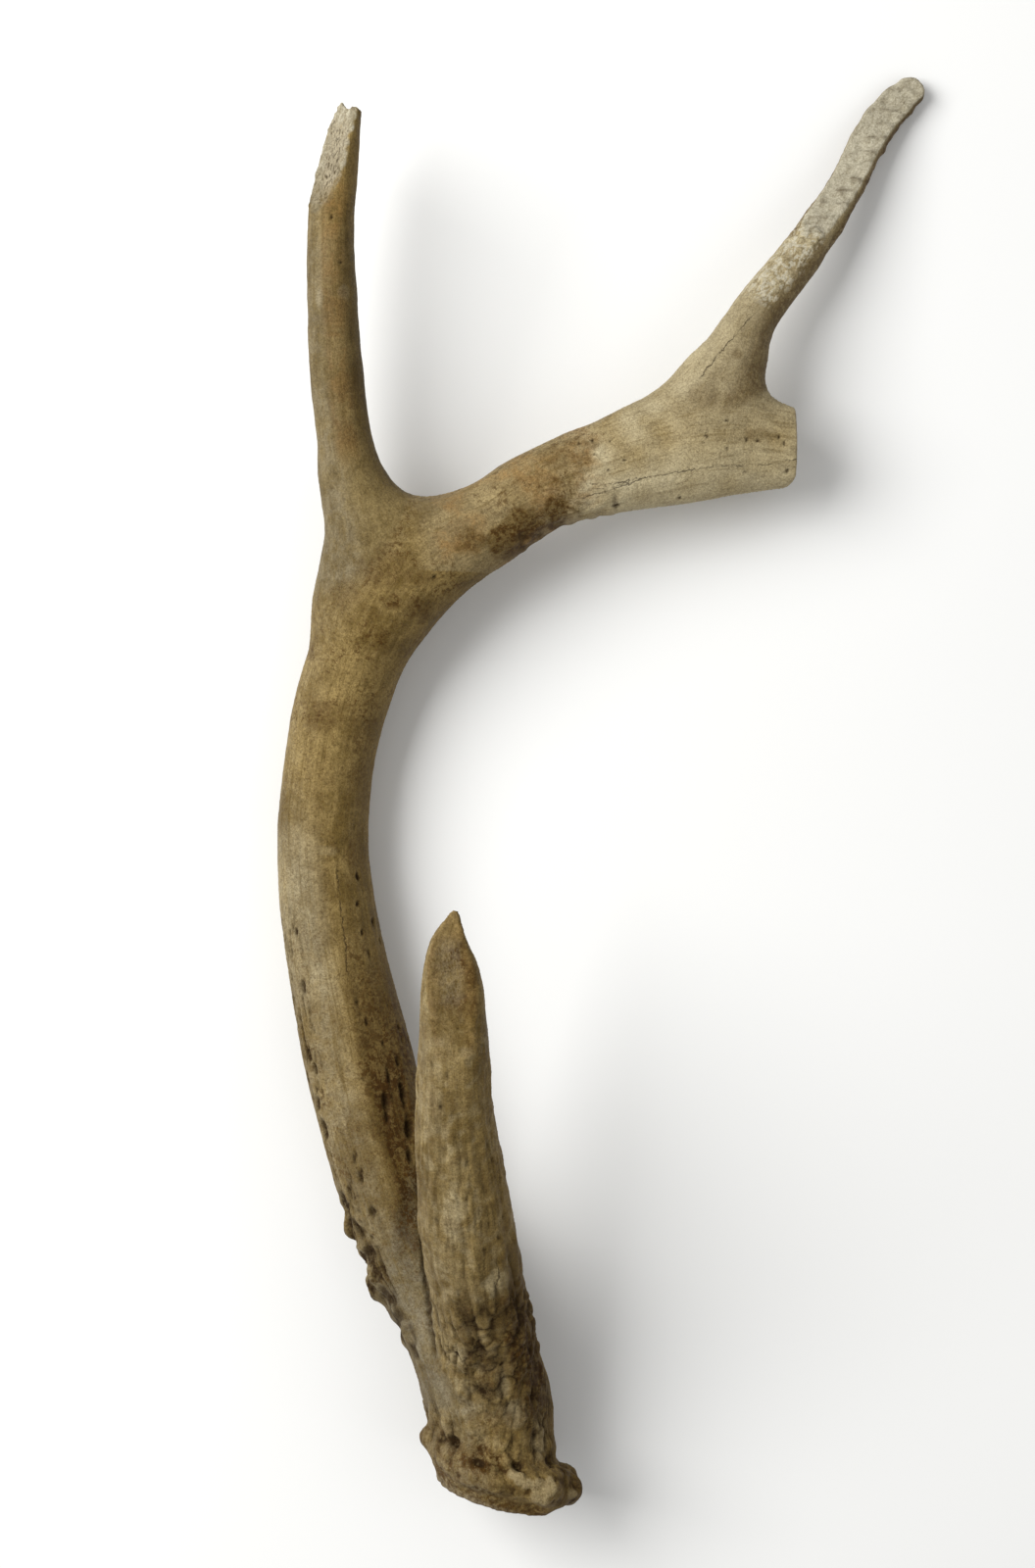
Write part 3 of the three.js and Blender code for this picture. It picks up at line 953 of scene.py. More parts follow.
    # Painted shade: flanks facing away from the key light, the beam in the brow tine's shadow and the
    # flank beyond the crest are tinted darker.
    shaded = fade(nx * 0.9 - ny * 0.25 - 0.25 * nz, -0.05, 0.75)
    shaded *= (1 - third_facet) * (1 - 0.45 * fade(x, -10, 30))
    shaded *= 1 - 0.4 * band(y, -60, 30, 20) * on_beam
    shaded = np.maximum(shaded, 0.9 * np.maximum(shadow_beside_brow, beyond_crest * fade(y, -50, -85)))
    open_pores = second_facet * spongy_core * 0.3 + in_sawn * 0.5 + brow_facet * 0.2
    hollow += pores * open_pores + 0.4 * marks
    crust = capped(lumpy + 0.5 * third_facet + 0.8 * chalky)
    freckled = capped(
        0.45
        + 0.55 * flank_stain_and_shade
        + 0.5 * (y > 20) * on_beam * fade(x, 6, -14)
        - 0.25 * fade(x, -6, 16) * (y > 60)
        + 0.4 * slit_zone
        - 0.45 * on_second
        - 0.2 * on_third
        - 0.2 * on_brow
    )
    # A greyer tint on the broken tips and the second tine, and painted shade on the web beside the brow
    # tine.
    slate_and_shade = web + third_facet + second_facet + 0.8 * on_second * fade(second["from_tip"], 30, 50)
    crack_gap = np.clip(crack_distance(points), -CRACK_REACH, CRACK_REACH)
    crack_gap += (1 - up) * 2 * CRACK_REACH
    finishes_and_shade = {
        "hollow": capped(hollow),
        "stain": stain,
        "bleach": capped(bleach),
        "grey": grey,
        "rust": rust,
        "marrow": marrow,
        "shaded": shaded,
        "crack_gap": crack_gap,
        "crust": crust,
        "freckled": freckled,
        "slate_and_shade": capped(slate_and_shade),
        "sawn": sawn,
        "tine_mix": tine_mix,
    }
    grains = {
        "beam_grain": grain(beam, 1),
        "tine_grain": grain(tine, 1) + GRAIN_APART * np.outer(nearest, (0, 0, 1)),
    }
    return height, finishes_and_shade, grains


# ---------------------------------------------------------------- the mesh


def add_limb(bm, limb, rounded):
    """A capped ring drawn along a limb's core, and past its end where that is rounded."""
    samples = list(range(0, len(limb.core) - 1, SAMPLES_PER_RING)) + [len(limb.core) - 1]
    places = [limb.place(i) for i in samples]
    if rounded:
        past = ROUND_END * min(limb.half_width[-1], limb.half_depth[-1])
        end = Matrix.Translation(limb.onward[-1] * past) @ places[-1]
        places.append(end @ Matrix.Diagonal((ROUND_END, ROUND_END, 1, 1)))
    made = bmesh.ops.create_circle(bm, cap_ends=True, segments=RING_SIDES, radius=1, matrix=places[0])
    face = made["verts"][0].link_faces[0]
    for place, last in zip(places[1:], places):
        grown = bmesh.ops.extrude_face_region(bm, geom=[face])["geom"]
        face = next(part for part in grown if isinstance(part, bmesh.types.BMFace))
        bmesh.ops.transform(bm, matrix=place @ last.inverted(), verts=face.verts)
    bmesh.ops.holes_fill(bm, edges=[edge for edge in bm.edges if edge.is_boundary], sides=0)


def add_burr(bm):
    """The seat and the ring of the burr as plain drums, and its knobs as balls."""
    turn = Vector((0, 0, 1)).rotation_difference(Vector(BURR_AXIS)).to_matrix().to_4x4()
    for radius, low, high in ((SEAT_RADIUS, -SEAT_DEPTH, 6), (RING_RADIUS + 2, -3.4, 2.6)):
        place = Matrix.Translation(BURR_CENTRE) @ turn @ Matrix.Translation((0, 0, (low + high) / 2))
        bmesh.ops.create_cone(
            bm,
            cap_ends=True,
            segments=DRUM_SIDES,
            radius1=radius,
            radius2=radius,
            depth=high - low,
            matrix=place,
        )
    for x, y, z, radius in ALL_KNOBS:
        place = Matrix.Translation((x, y, z))
        bmesh.ops.create_icosphere(bm, subdivisions=2, radius=radius, matrix=place)


def object_from(bm, name):
    """A new object in the scene that holds the bmesh, which is freed."""
    mesh = bpy.data.meshes.new(name)
    bm.to_mesh(mesh)
    bm.free()
    made = bpy.data.objects.new(name, mesh)
    bpy.context.scene.collection.objects.link(made)
    return made


def remeshed(made, step):
    """Fuses the object's closed parts into one even skin of squares of that size."""
    fuse = made.modifiers.new("fuse", "REMESH")
    fuse.mode = "VOXEL"
    fuse.voxel_size = step
    graph = bpy.context.evaluated_depsgraph_get()
    mesh = bpy.data.meshes.new_from_object(made.evaluated_get(graph))
    made.modifiers.clear()
    old = made.data
    made.data = mesh
    bpy.data.meshes.remove(old)


def read_points(mesh):
    flat = np.empty(len(mesh.vertices) * 3)
    mesh.vertices.foreach_get("co", flat)
    return flat.reshape(-1, 3)


def write_points(mesh, points):
    mesh.vertices.foreach_set("co", points.ravel())
    mesh.update()


def read_normals(mesh):
    flat = np.empty(len(mesh.vertices) * 3, np.float32)
    mesh.vertex_normals.foreach_get("vector", flat)
    return flat.reshape(-1, 3).astype(float)


def add_number(mesh, name, values):
    mesh.attributes.new(name, "FLOAT", "POINT").data.foreach_set("value", values.astype(np.float32))


def add_vector(mesh, name, values):
    mesh.attributes.new(name, "FLOAT_VECTOR", "POINT").data.foreach_set(
        "vector", values.astype(np.float32).ravel()
    )


ROUGH_STEP = 2.2  # how much coarser the first skin is than the finished one
ROUGH_ROUNDS = 6
FINE_ROUNDS = 1
INSIDE_BOX = 0.01  # mm that the skin stays inside the box of the solids


def grow_bone(sizes):
    """The whole antler as one closed skin in metres, with its wear, its finish and its painted shade on
    its points.
    """
    bm = bmesh.new()
    for limb in LIMBS:
        add_limb(bm, limb, rounded=limb in ROUND_ENDED)
    add_burr(bm)
    bmesh.ops.recalc_face_normals(bm, faces=bm.faces)
    bone = object_from(bm, WHOLE)
    step = sizes.mesh_step / MM
    for coarser, rounds in ((ROUGH_STEP, ROUGH_ROUNDS), (1, FINE_ROUNDS)):
        remeshed(bone, step * coarser)
        write_points(bone.data, to_form(read_points(bone.data), rounds))
    points = read_points(bone.data)
    normal = read_normals(bone.data)
    reaches = form(points)[1]
    height, finishes_and_shade, grains = wear(points, normal, reaches, sizes)
    low, high = (np.array(corner) / MM for corner in CAD_BOX)
    worn = points + normal * height[:, None]
    points = np.clip(worn, low + INSIDE_BOX, high - INSIDE_BOX)
    write_points(bone.data, points * MM)
    for name, values in finishes_and_shade.items():
        add_number(bone.data, name, values)
    for name, values in grains.items():
        add_vector(bone.data, name, values)
    return bone


# Where the bone is parted: the piece beyond the cut, a point on the cut, the way it faces and
# how far from the point it reaches, in mm.
PARTINGS = [
    ("mid_beam", (-73.5, -114.6, 18.8), (-0.295, 0.955, -0.052), 26),
    ("brow_tine", (-42.8, -149.4, 59.4), (-0.114, 0.858, 0.498), 24),
    ("second_tine", (-81, 97.6, 30.6), (-0.21, 0.955, 0.21), 17),
    ("upper_beam", (-37.3, 85.1, 27.5), (0.875, 0.484, 0.06), 19),
    ("third_tine", (43.8, 142.6, 24), (0.5, 0.84, -0.2), 17),
]
PIECES = [name for name, _, _, _ in PARTINGS] + ["burr_base"]
PAST_CUT = 12  # mm beyond a cut, where its piece is nearest
SMALLEST_SKIN = 2000  # faces


def delete_faces(bm, faces):
    bmesh.ops.delete(bm, geom=faces, context="FACES")


def split_at(bm, at, facing, reach):
    """Cuts the skin across at a plane, near the point given."""
    middle = Vector(at) * MM
    near = [face for face in bm.faces if (face.verts[0].co - middle).length < reach * MM]
    around = set(near)
    for face in near:
        around.update(face.verts)
        around.update(face.edges)
    made = bmesh.ops.bisect_plane(
        bm, geom=list(around), dist=1e-7, plane_co=middle, plane_no=Vector(facing).normalized()
    )["geom_cut"]
    bmesh.ops.split_edges(bm, edges=[part for part in made if isinstance(part, bmesh.types.BMEdge)])


def islands(bm):
    """The mesh's separate skins, as lists of faces, largest first."""
    left = set(bm.faces)
    found = []
    while left:
        seed = left.pop()
        island = [seed]
        edge_of_island = [seed]
        while edge_of_island:
            face = edge_of_island.pop()
            for edge in face.edges:
                for other in edge.link_faces:
                    if other in left:
                        left.remove(other)
                        island.append(other)
                        edge_of_island.append(other)
        found.append(island)
    return sorted(found, key=len, reverse=True)


def part_bone(bone):
    """Cuts the skin across at each fork and marks each face with its piece's place in PIECES."""
    bm = bmesh.new()
    bm.from_mesh(bone.data)
    for _, at, facing, reach in PARTINGS:
        split_at(bm, at, facing, reach)
    skins = islands(bm)
    if len(skins) < len(PIECES) or len(skins[len(PIECES) - 1]) < SMALLEST_SKIN:
        raise RuntimeError("The bone didn't part at every fork: widen the reach of its cuts")
    crumbs = [face for skin in skins[len(PIECES) :] for face in skin]
    left = skins[: len(PIECES)]
    for number, (_, at, facing, _) in enumerate(PARTINGS):
        beyond = (Vector(at) + PAST_CUT * Vector(facing)) * MM
        skin = min(left, key=lambda faces: min((face.verts[0].co - beyond).length for face in faces))
        left.remove(skin)
        for face in skin:
            face.material_index = number
    for face in left[0]:
        face.material_index = len(PARTINGS)
    delete_faces(bm, crumbs)
    bm.to_mesh(bone.data)
    bm.free()


def piece_of(bone, node):
    """Takes a node's share out of the parted bone, closed with a flat face at each cut."""
    number = PIECES.index(node)
    rest = bmesh.new()
    rest.from_mesh(bone.data)
    bm = rest.copy()
    delete_faces(bm, [face for face in bm.faces if face.material_index != number])
    delete_faces(rest, [face for face in rest.faces if face.material_index == number])
    rest.to_mesh(bone.data)
    rest.free()
    if not bm.faces:
        raise RuntimeError("The bone has no share left for " + node + ": grow it again")
    for face in bm.faces:
        face.material_index = 0
        face.smooth = True
    rim = [edge for edge in bm.edges if edge.is_boundary]
    caps = bmesh.ops.holes_fill(bm, edges=rim, sides=0)["faces"]
    for face in caps:
        face.smooth = False
    for edge in rim:
        edge.smooth = False
    bmesh.ops.triangulate(bm, faces=caps)
    bmesh.ops.recalc_face_normals(bm, faces=bm.faces)
    return object_from(bm, node + "_bone")


# ---------------------------------------------------------------- the finish


# The finish's fixed numbers: its fine light and dark grit, its bump in metres and its shine.
GRIT_DARK = (0.74, 0.72, 0.68, 1.0)
GRIT_LIGHT = (1.20, 1.20, 1.18, 1.0)
BUMP_STRENGTH = 0.8
BUMP_DISTANCE = 0.0004
SHINE = 0.1
FLOOR_ROUGHNESS = 0.85
FLOOR_SHADE = 0.985  # the floor's darker tone against its colour


class Nodes:
    """A material's nodes, with short names for the ones that the bone needs."""

    def __init__(self, name):
        self.material = bpy.data.materials.new(name)
        self.material.use_nodes = True
        self.tree = self.material.node_tree
        self.tree.nodes.clear()

    def add(self, kind, **settings):
        node = self.tree.nodes.new(kind)
        for key, value in settings.items():
            setattr(node, key, value)
        return node

    def put(self, socket, value):
        """A value on a socket: a link where it is a socket itself."""
        if isinstance(value, bpy.types.NodeSocket):
            self.tree.links.new(value, socket)
        else:
            socket.default_value = value

    def attribute(self, name, output="Fac"):
        return self.add("ShaderNodeAttribute", attribute_name=name).outputs[output]

    def math(self, operation, a, b=0.0):
        node = self.add("ShaderNodeMath", operation=operation)
        self.put(node.inputs[0], a)
        self.put(node.inputs[1], b)
        return node.outputs[0]

    def times(self, a, b):
        return self.math("MULTIPLY", a, b)

    def total(self, *parts):
        """The sum of parts, each a value and its weight."""
        whole = self.times(*parts[0])
        for part in parts[1:]:
            whole = self.math("ADD", whole, self.times(*part))
        return whole

    def mapped(self, vector, scale):
        node = self.add("ShaderNodeMapping")
        self.put(node.inputs["Vector"], vector)
        self.put(node.inputs["Scale"], scale)
        return node.outputs[0]

    def noise(self, vector, scale, detail=3.0, roughness=0.55, warp=0.0):
        node = self.add("ShaderNodeTexNoise")
        self.put(node.inputs["Vector"], vector)
        self.put(node.inputs["Scale"], scale)
        self.put(node.inputs["Detail"], detail)
        self.put(node.inputs["Roughness"], roughness)
        self.put(node.inputs["Distortion"], warp)
        return node.outputs["Fac"]

    def cells(self, vector, scale):
        node = self.add("ShaderNodeTexVoronoi")
        self.put(node.inputs["Vector"], vector)
        self.put(node.inputs["Scale"], scale)
        return node.outputs["Distance"]

    def spread(self, value, low, high, to_low=0.0, to_high=1.0):
        node = self.add("ShaderNodeMapRange", interpolation_type="SMOOTHSTEP")
        self.put(node.inputs["Value"], value)
        self.put(node.inputs["From Min"], low)
        self.put(node.inputs["From Max"], high)
        self.put(node.inputs["To Min"], to_low)
        self.put(node.inputs["To Max"], to_high)
        return node.outputs[0]

    def blend(self, factor, a, b, kind="MIX"):
        node = self.add("ShaderNodeMix", data_type="RGBA", blend_type=kind, clamp_factor=True)
        self.put(node.inputs["Factor"], factor)
        self.put(node.inputs[6], a)
        self.put(node.inputs[7], b)
        return node.outputs[2]

    def over(self, under, paint, amount, share):
        """Paint laid over a colour, by an amount times a share."""
        return self.blend(self.times(amount, share), under, paint)

    def tinted(self, colour, tint):
        return self.blend(1.0, colour, tint, "MULTIPLY")

    def between(self, factor, a, b):
        node = self.add("ShaderNodeMix", data_type="FLOAT", clamp_factor=True)
        self.put(node.inputs["Factor"], factor)
        self.put(node.inputs[2], a)
        self.put(node.inputs[3], b)
        return node.outputs[0]

    def finished(self, colour, roughness, normal=None):
        """The material, with its shader and output."""
        shader = self.add("ShaderNodeBsdfPrincipled")
        self.put(shader.inputs["Base Color"], colour)
        self.put(shader.inputs["Roughness"], roughness)
        if normal is not None:
            self.put(shader.inputs["Normal"], normal)
        shader.inputs["Specular IOR Level"].default_value = SHINE
        output = self.add("ShaderNodeOutputMaterial")
        self.put(output.inputs["Surface"], shader.outputs[0])
        return self.material


def bone_finish(colours):
    """Weathered antler: mottled and streaked along its grain, with dirt in its hollows and painted
    shade on its darker flanks and creases.
    """
    n = Nodes(FINISH)
    place = n.add("ShaderNodeTexCoord").outputs["Object"]
    beam_grain = n.attribute("beam_grain", "Vector")
    tine_grain = n.attribute("tine_grain", "Vector")
    tine_mix = n.attribute("tine_mix")

    def runs(scale, stretch, detail=3.0, warp=0.0):
        """Noise along the grain of the beam or tine, with a scale per mm."""
        squeeze = (1.0, 1.0, 1.0 / stretch)
        on_beam = n.noise(n.mapped(beam_grain, squeeze), scale, detail, warp=warp)
        on_tine = n.noise(n.mapped(tine_grain, squeeze), scale, detail, warp=warp)
        return n.between(tine_mix, on_beam, on_tine)

    # Patterns from coarse to fine: their scale per metre, or per mm along the grain, then their detail.
    cloud = n.noise(place, 38.0, 4.0, 0.55, 0.3)
    mottle = n.noise(place, 160.0, 6.0, 0.68, 0.5)
    speckle = n.noise(place, 620.0, 5.0, 0.72, 0.3)
    dust = n.noise(place, 2100.0, 2.0, 0.6)
    wrinkle = n.noise(place, 330.0, 4.0, 0.6, 1.2)
    pores = n.cells(place, 900.0)
    streaks = runs(0.42, 9.0, 5.0, 0.3)
    fibres = runs(1.7, 12.0, 3.0)

    hollow = n.attribute("hollow")
    stain = n.attribute("stain")
    bleach = n.attribute("bleach")
    marrow = n.attribute("marrow")
    crust = n.attribute("crust")
    freckled = n.attribute("freckled")

    # The bone's own colour, weathered grey and bleached or stained by zones, then painted shade on its
    # darker flanks and on the web beside the brow tine.
    tone = n.total((cloud, 0.32), (mottle, 0.30), (speckle, 0.16), (streaks, 0.22))
    colour = n.blend(n.spread(tone, 0.40, 0.56, 0.1, 1.0), colours.olive, colours.tan)
    greys = n.blend(n.spread(tone, 0.43, 0.58), colours.grey, colours.pale_grey)
    colour = n.over(colour, greys, n.attribute("grey"), n.spread(mottle, 0.38, 0.6, 0.45, 1.0))
    pale_tone = n.total((tone, 0.7), (speckle, 0.3))
    colour = n.over(colour, colours.cream, bleach, n.spread(pale_tone, 0.41, 0.55, 0.74, 1.0))
    rusted = n.spread(mottle, 0.42, 0.6, 0.25, 0.95)
    colour = n.over(colour, colours.rust, n.attribute("rust"), rusted)
    smudge = n.total((speckle, 0.6), (mottle, 0.4))
    colour = n.over(colour, colours.brown, stain, n.spread(smudge, 0.44, 0.54, 0.25, 1.0))
    # Painted shade: a darker tint on flanks facing away from the key light and in the brow tine's
    # shadow.
    colour = n.over(colour, n.tinted(colour, colours.shade), n.attribute("shaded"), 0.62)
    # A cool greyer tint on the tips, and painted shade on the web beside the brow tine.
    colour = n.blend(n.attribute("slate_and_shade"), colour, n.tinted(colour, colours.slate_and_shade))

    # Freckles, specks and hair lines, fewer where the bone is bleached.
    smooth = n.math("SUBTRACT", 1.0, n.times(bleach, 0.65))
    cluster = n.noise(place, 85.0, 4.0, 0.6, 0.8)
    freckle = n.times(n.spread(speckle, 0.49, 0.58), n.spread(cluster, 0.44, 0.60, 0.15, 0.85))
    colour = n.over(colour, colours.brown, n.times(freckle, freckled), smooth)
    specks = n.noise(place, 1000.0, 3.0, 0.7)
    speck = n.times(n.spread(specks, 0.57, 0.63), n.spread(freckled, 0.0, 0.5, 0.15, 0.5))
    colour = n.over(colour, colours.brown, speck, smooth)
    hairs = runs(1.1, 22.0, 3.0, 0.2)
    hair = n.times(n.spread(hairs, 0.55, 0.64), n.between(tine_mix, 0.45, 0.3))
    colour = n.over(colour, colours.olive, hair, smooth)

    # Whitish flecks on gnawed bone, fine wrinkles, and the spongy core of the breaks.
    fleck = n.noise(n.mapped(tine_grain, (1.0, 1.0, 0.6)), 0.62, 5.0, 0.66, 0.5)
    colour = n.over(colour, colours.crust, crust, n.spread(fleck, 0.49, 0.55, 0.0, 0.85))
    colour = n.over(colour, colours.grey, crust, n.spread(fleck, 0.47, 0.38, 0.0, 0.55))
    creased = n.math("SUBTRACT", wrinkle, 0.5)
    crinkle = n.spread(n.math("ABSOLUTE", creased), 0.030, 0.004)
    colour = n.over(colour, colours.brown, crinkle, 0.10)
    holes = n.cells(n.mapped(tine_grain, (1.0, 1.0, 0.45)), 1.15)
    spongy = n.total((n.spread(holes, 0.05, 0.6), 0.28), (mottle, 0.40), (streaks, 0.32))
    core = n.blend(n.spread(spongy, 0.42, 0.66), colours.marrow, colours.marrow_pale)
    colour = n.over(colour, core, marrow, 0.92)

    # Dirt in the hollows and cracks, and painted shadow in the crease beside the brow tine, then a fine
    # grit over everything.
    colour = n.over(colour, colours.dirt_and_shade, hollow, n.spread(speckle, 0.35, 0.55, 0.65, 1.0))
    wobbling = n.math("ADD", n.attribute("crack_gap"), n.times(creased, 2.4))
    crack_gap = n.math("ABSOLUTE", wobbling)
    cracks = n.times(n.spread(crack_gap, 0.30, 0.04), n.spread(mottle, 0.42, 0.56, 0.15, 1.0))
    colour = n.over(colour, colours.dirt_and_shade, cracks, 0.7)
    grain = n.total((dust, 0.5), (n.noise(place, 1150.0, 3.0, 0.7), 0.5))
    colour = n.tinted(colour, n.blend(n.spread(grain, 0.36, 0.62), GRIT_DARK, GRIT_LIGHT))

    sponge = n.times(n.spread(n.cells(place, 1300.0), 0.5, 0.1), marrow)
    saw_lines = n.noise(n.mapped(place, (1.0, 60.0, 1500.0)), 1.0, 2.0)
    relief = n.total(
        (fibres, 0.4),
        (speckle, 0.9),
        (dust, 0.2),
        (streaks, 0.4),
        (crinkle, -0.12),
        (n.spread(pores, 0.24, 0.08), -0.3),
        (cracks, -0.8),
        (sponge, -0.9),
        (n.times(saw_lines, n.attribute("sawn")), 0.6),
    )
    bump = n.add("ShaderNodeBump")
    bump.inputs["Strength"].default_value = BUMP_STRENGTH
    bump.inputs["Distance"].default_value = BUMP_DISTANCE
    n.put(bump.inputs["Height"], relief)

    gloss = n.spread(tone, 0.40, 0.60, 0.50, 0.62)
    gloss = n.between(n.math("MAXIMUM", marrow, hollow), gloss, 0.85)
    return n.finished(colour, gloss, bump.outputs[0])


def floor_finish(colours):
    """A plain pale floor, a little uneven in tone."""
    n = Nodes("plain_floor")
    place = n.add("ShaderNodeTexCoord").outputs["Object"]
    tone = n.spread(n.noise(place, 3.0, 2.0), 0.3, 0.7)
    low = tuple(value * FLOOR_SHADE for value in colours.floor[:3]) + (1.0,)
    return n.finished(n.blend(tone, low, colours.floor), FLOOR_ROUGHNESS)


# ---------------------------------------------------------------- sizes, colours and operators


def shade(red, green, blue):
    """A colour given as it shows on a screen, 0 to 255, as linear light."""
    return tuple(((value / 255 + 0.055) / 1.055) ** 2.4 for value in (red, green, blue)) + (1.0,)


# The stage: the camera in mm, and each light's size and place in metres.
CAMERA_HEIGHT = 900
CAMERA_X = -28.5
CAMERA_LENS = 61.875
SENSOR_WIDTH = 36.0
KEY_LIGHT = (0.9, (-0.85, 0.35, 0.95))
FILL_LIGHT = (1.2, (1.1, -0.3, 1.1))


def length_property(name, description, millimetres, **limits):
    return FloatProperty(
        name=name,
        description=description,
        default=millimetres * MM,
        unit="LENGTH",
        subtype="DISTANCE",
        **limits,
    )


def colour_property(name, description, red, green, blue):
    return FloatVectorProperty(
        name=name,
        description=description,
        default=shade(red, green, blue),
        size=4,
        min=0.0,
        max=1.0,
        subtype="COLOR",
    )


class AntlerSizes(bpy.types.PropertyGroup):
    mesh_step: length_property("Mesh step", "Size of the squares of the finished skin", 0.62, min=0.0)
    ridge_height: length_property("Ridge height", "Height of the lengthwise ridges", 0.65, min=0.0)
    pearl_height: length_property("Pearl height", "Height of the beads round the base", 1.25, min=0.0)
    pit_depth: length_property("Pit depth", "Depth of the small scattered pits", 0.5, min=0.0)


class AntlerColours(bpy.types.PropertyGroup):
    tan: colour_property("Tan", "The bone's lighter colour", 142, 121, 75)
    olive: colour_property("Olive", "The bone's darker colour", 96, 77, 36)
    grey: colour_property("Grey", "Weathered grey bone, where it is darker", 106, 93, 66)
    pale_grey: colour_property("Pale grey", "Weathered grey bone, where it is lighter", 144, 130, 98)
    crust: colour_property("Crust", "Whitish flecks on gnawed bone", 184, 177, 157)
    cream: colour_property("Cream", "Bleached and gnawed bone", 189, 177, 145)
    brown: colour_property("Brown", "Brown stains and freckles", 72, 48, 12)
    rust: colour_property("Rust", "Orange brown stains", 136, 101, 52)
    # Dirt in pits and cracks, and painted shadow in the crease beside the brow tine.
    dirt_and_shade: colour_property("Dirt", "Dark dirt in pits and crevices", 42, 28, 10)
    # Painted shade: the tint of the flanks facing away from the key light and in the brow tine's
    # shadow.
    shade: colour_property("Shade", "What the darker flanks are tinted with", 176, 166, 138)
    # A greyer tint, and painted shade on the web beside the brow tine.
    slate_and_shade: colour_property("Slate", "What the greyer parts are tinted with", 232, 238, 255)
    marrow: colour_property("Marrow", "Spongy inner bone in its hollows", 84, 73, 54)
    marrow_pale: colour_property("Pale marrow", "Spongy inner bone on its ridges", 156, 145, 122)
    floor: colour_property("Floor", "The floor", 240, 240, 238)


class AntlerStage(bpy.types.PropertyGroup):
    camera_height: length_property(
        "Camera height", "Height of the camera over the floor", CAMERA_HEIGHT, min=0.0
    )
    camera_x: length_property("Camera X", "Where the camera hangs", CAMERA_X)
    camera_lens: FloatProperty(
        name="Lens", description="Focal length in millimetres", default=CAMERA_LENS, min=1.0
    )
    key_power: FloatProperty(
        name="Key light", description="Power of the large soft light", default=20.0, unit="POWER"
    )
    fill_power: FloatProperty(
        name="Fill light", description="Power of the light across", default=3.0, unit="POWER"
    )
    sky_strength: FloatProperty(
        name="Sky", description="Strength of the even light around", default=0.42
    )
    floor_size: FloatProperty(
        name="Floor size", description="Side of the floor", default=8.0, unit="LENGTH"
    )


class ANTLER_OT_stage(bpy.types.Operator):
    """Makes the camera, the pale floor and the soft studio light"""

    bl_idname = "antler.stage"
    bl_label = "Stage"

    def execute(self, context):
        stage = context.scene.antler_stage
        colours = context.scene.antler_colours
        camera = bpy.data.objects.new("camera", bpy.data.cameras.new("camera"))
        camera.data.sensor_width = SENSOR_WIDTH
        camera.data.lens = stage.camera_lens
        camera.data.dof.use_dof = False
        camera.location = (stage.camera_x, 0, stage.camera_height)
        context.scene.collection.objects.link(camera)
        context.scene.camera = camera

        bm = bmesh.new()
        bmesh.ops.create_grid(bm, x_segments=1, y_segments=1, size=stage.floor_size / 2)
        floor = object_from(bm, "floor")
        floor.data.materials.append(floor_finish(colours))

        for name, power, (size, place) in (
            ("key_light", stage.key_power, KEY_LIGHT),
            ("fill_light", stage.fill_power, FILL_LIGHT),
        ):
            lamp = bpy.data.lights.new(name, "AREA")
            lamp.energy = power
            lamp.size = size
            light = bpy.data.objects.new(name, lamp)
            light.location = place
            light.rotation_euler = (-Vector(place)).to_track_quat("-Z", "Y").to_euler()
            context.scene.collection.objects.link(light)
        world = bpy.data.worlds.new("studio")
        world.use_nodes = True
        sky = world.node_tree.nodes["Background"]
        sky.inputs["Color"].default_value = (1.0, 1.0, 1.0, 1.0)
        sky.inputs["Strength"].default_value = stage.sky_strength
        context.scene.world = world
        context.scene.view_settings.view_transform = "Standard"
        return {"FINISHED"}


class ANTLER_OT_grow(bpy.types.Operator):
    """Grows the whole antler as one skin, with its wear, and cuts it across at its forks"""

    bl_idname = "antler.grow"
    bl_label = "Grow the bone"

    def execute(self, context):
        bone = grow_bone(context.scene.antler_sizes)
        part_bone(bone)
        return {"FINISHED"}


def finish_pieces(context, nodes):
    """Turns the named nodes' shares of the parted bone into finished pieces."""
    bone = bpy.data.objects.get(WHOLE)
    if bone is None:
        raise RuntimeError("There is no parted bone: grow it first")
    finish = bpy.data.materials.get(FINISH) or bone_finish(context.scene.antler_colours)
    for node in nodes:
        piece = piece_of(bone, node)
        piece.data.materials.append(finish)
        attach(piece, BODY)
        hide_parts(node)
    if not bone.data.polygons:
        bpy.data.objects.remove(bone)


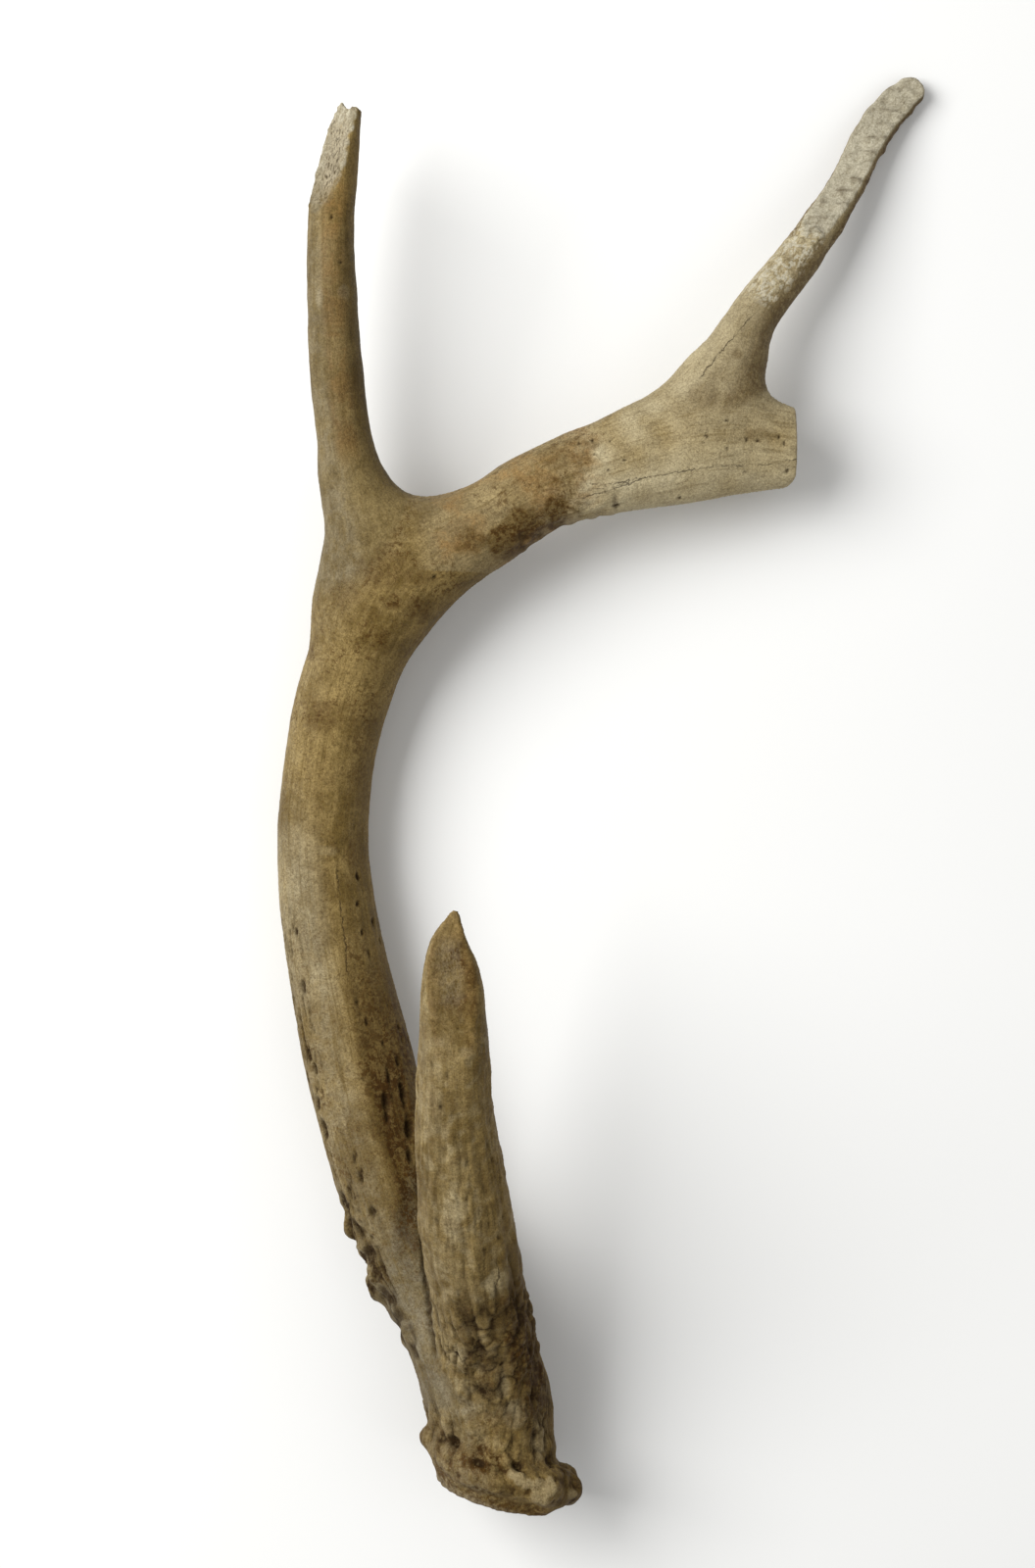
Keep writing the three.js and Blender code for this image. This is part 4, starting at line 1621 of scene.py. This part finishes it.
class ANTLER_OT_beam(bpy.types.Operator):
    """Makes the beam's pieces from the parted bone: burr and base, middle and upper beam"""

    bl_idname = "antler.beam"
    bl_label = "Beam pieces"

    def execute(self, context):
        finish_pieces(context, ("burr_base", "mid_beam", "upper_beam"))
        return {"FINISHED"}


class ANTLER_OT_tines(bpy.types.Operator):
    """Makes the three tines from the parted bone"""

    bl_idname = "antler.tines"
    bl_label = "Tines"

    def execute(self, context):
        finish_pieces(context, ("brow_tine", "second_tine"))
        finish_pieces(context, ("third_tine",))
        return {"FINISHED"}


class ANTLER_PT_panel(bpy.types.Panel):
    """Lists the antler's sizes, colours and steps"""

    bl_label = "Antler"
    bl_idname = "ANTLER_PT_panel"
    bl_space_type = "VIEW_3D"
    bl_region_type = "UI"
    bl_category = "Antler"

    def draw(self, context):
        scene = context.scene
        for group in (scene.antler_sizes, scene.antler_colours, scene.antler_stage):
            box = self.layout.box()
            for name in group.bl_rna.properties.keys():
                if name not in ("rna_type", "name"):
                    box.prop(group, name)
        for step in (ANTLER_OT_stage, ANTLER_OT_grow, ANTLER_OT_beam, ANTLER_OT_tines):
            self.layout.operator(step.bl_idname)


CLASSES = (
    AntlerSizes,
    AntlerColours,
    AntlerStage,
    ANTLER_OT_stage,
    ANTLER_OT_grow,
    ANTLER_OT_beam,
    ANTLER_OT_tines,
    ANTLER_PT_panel,
)


def register():
    for cls in CLASSES:
        bpy.utils.register_class(cls)
    bpy.types.Scene.antler_sizes = PointerProperty(type=AntlerSizes)
    bpy.types.Scene.antler_colours = PointerProperty(type=AntlerColours)
    bpy.types.Scene.antler_stage = PointerProperty(type=AntlerStage)


def unregister():
    del bpy.types.Scene.antler_stage
    del bpy.types.Scene.antler_colours
    del bpy.types.Scene.antler_sizes
    for cls in reversed(CLASSES):
        bpy.utils.unregister_class(cls)


def main():
    register()
    bpy.ops.antler.stage()
    bpy.ops.antler.grow()
    bpy.ops.antler.beam()
    bpy.ops.antler.tines()


if __name__ == "__main__":
    main()
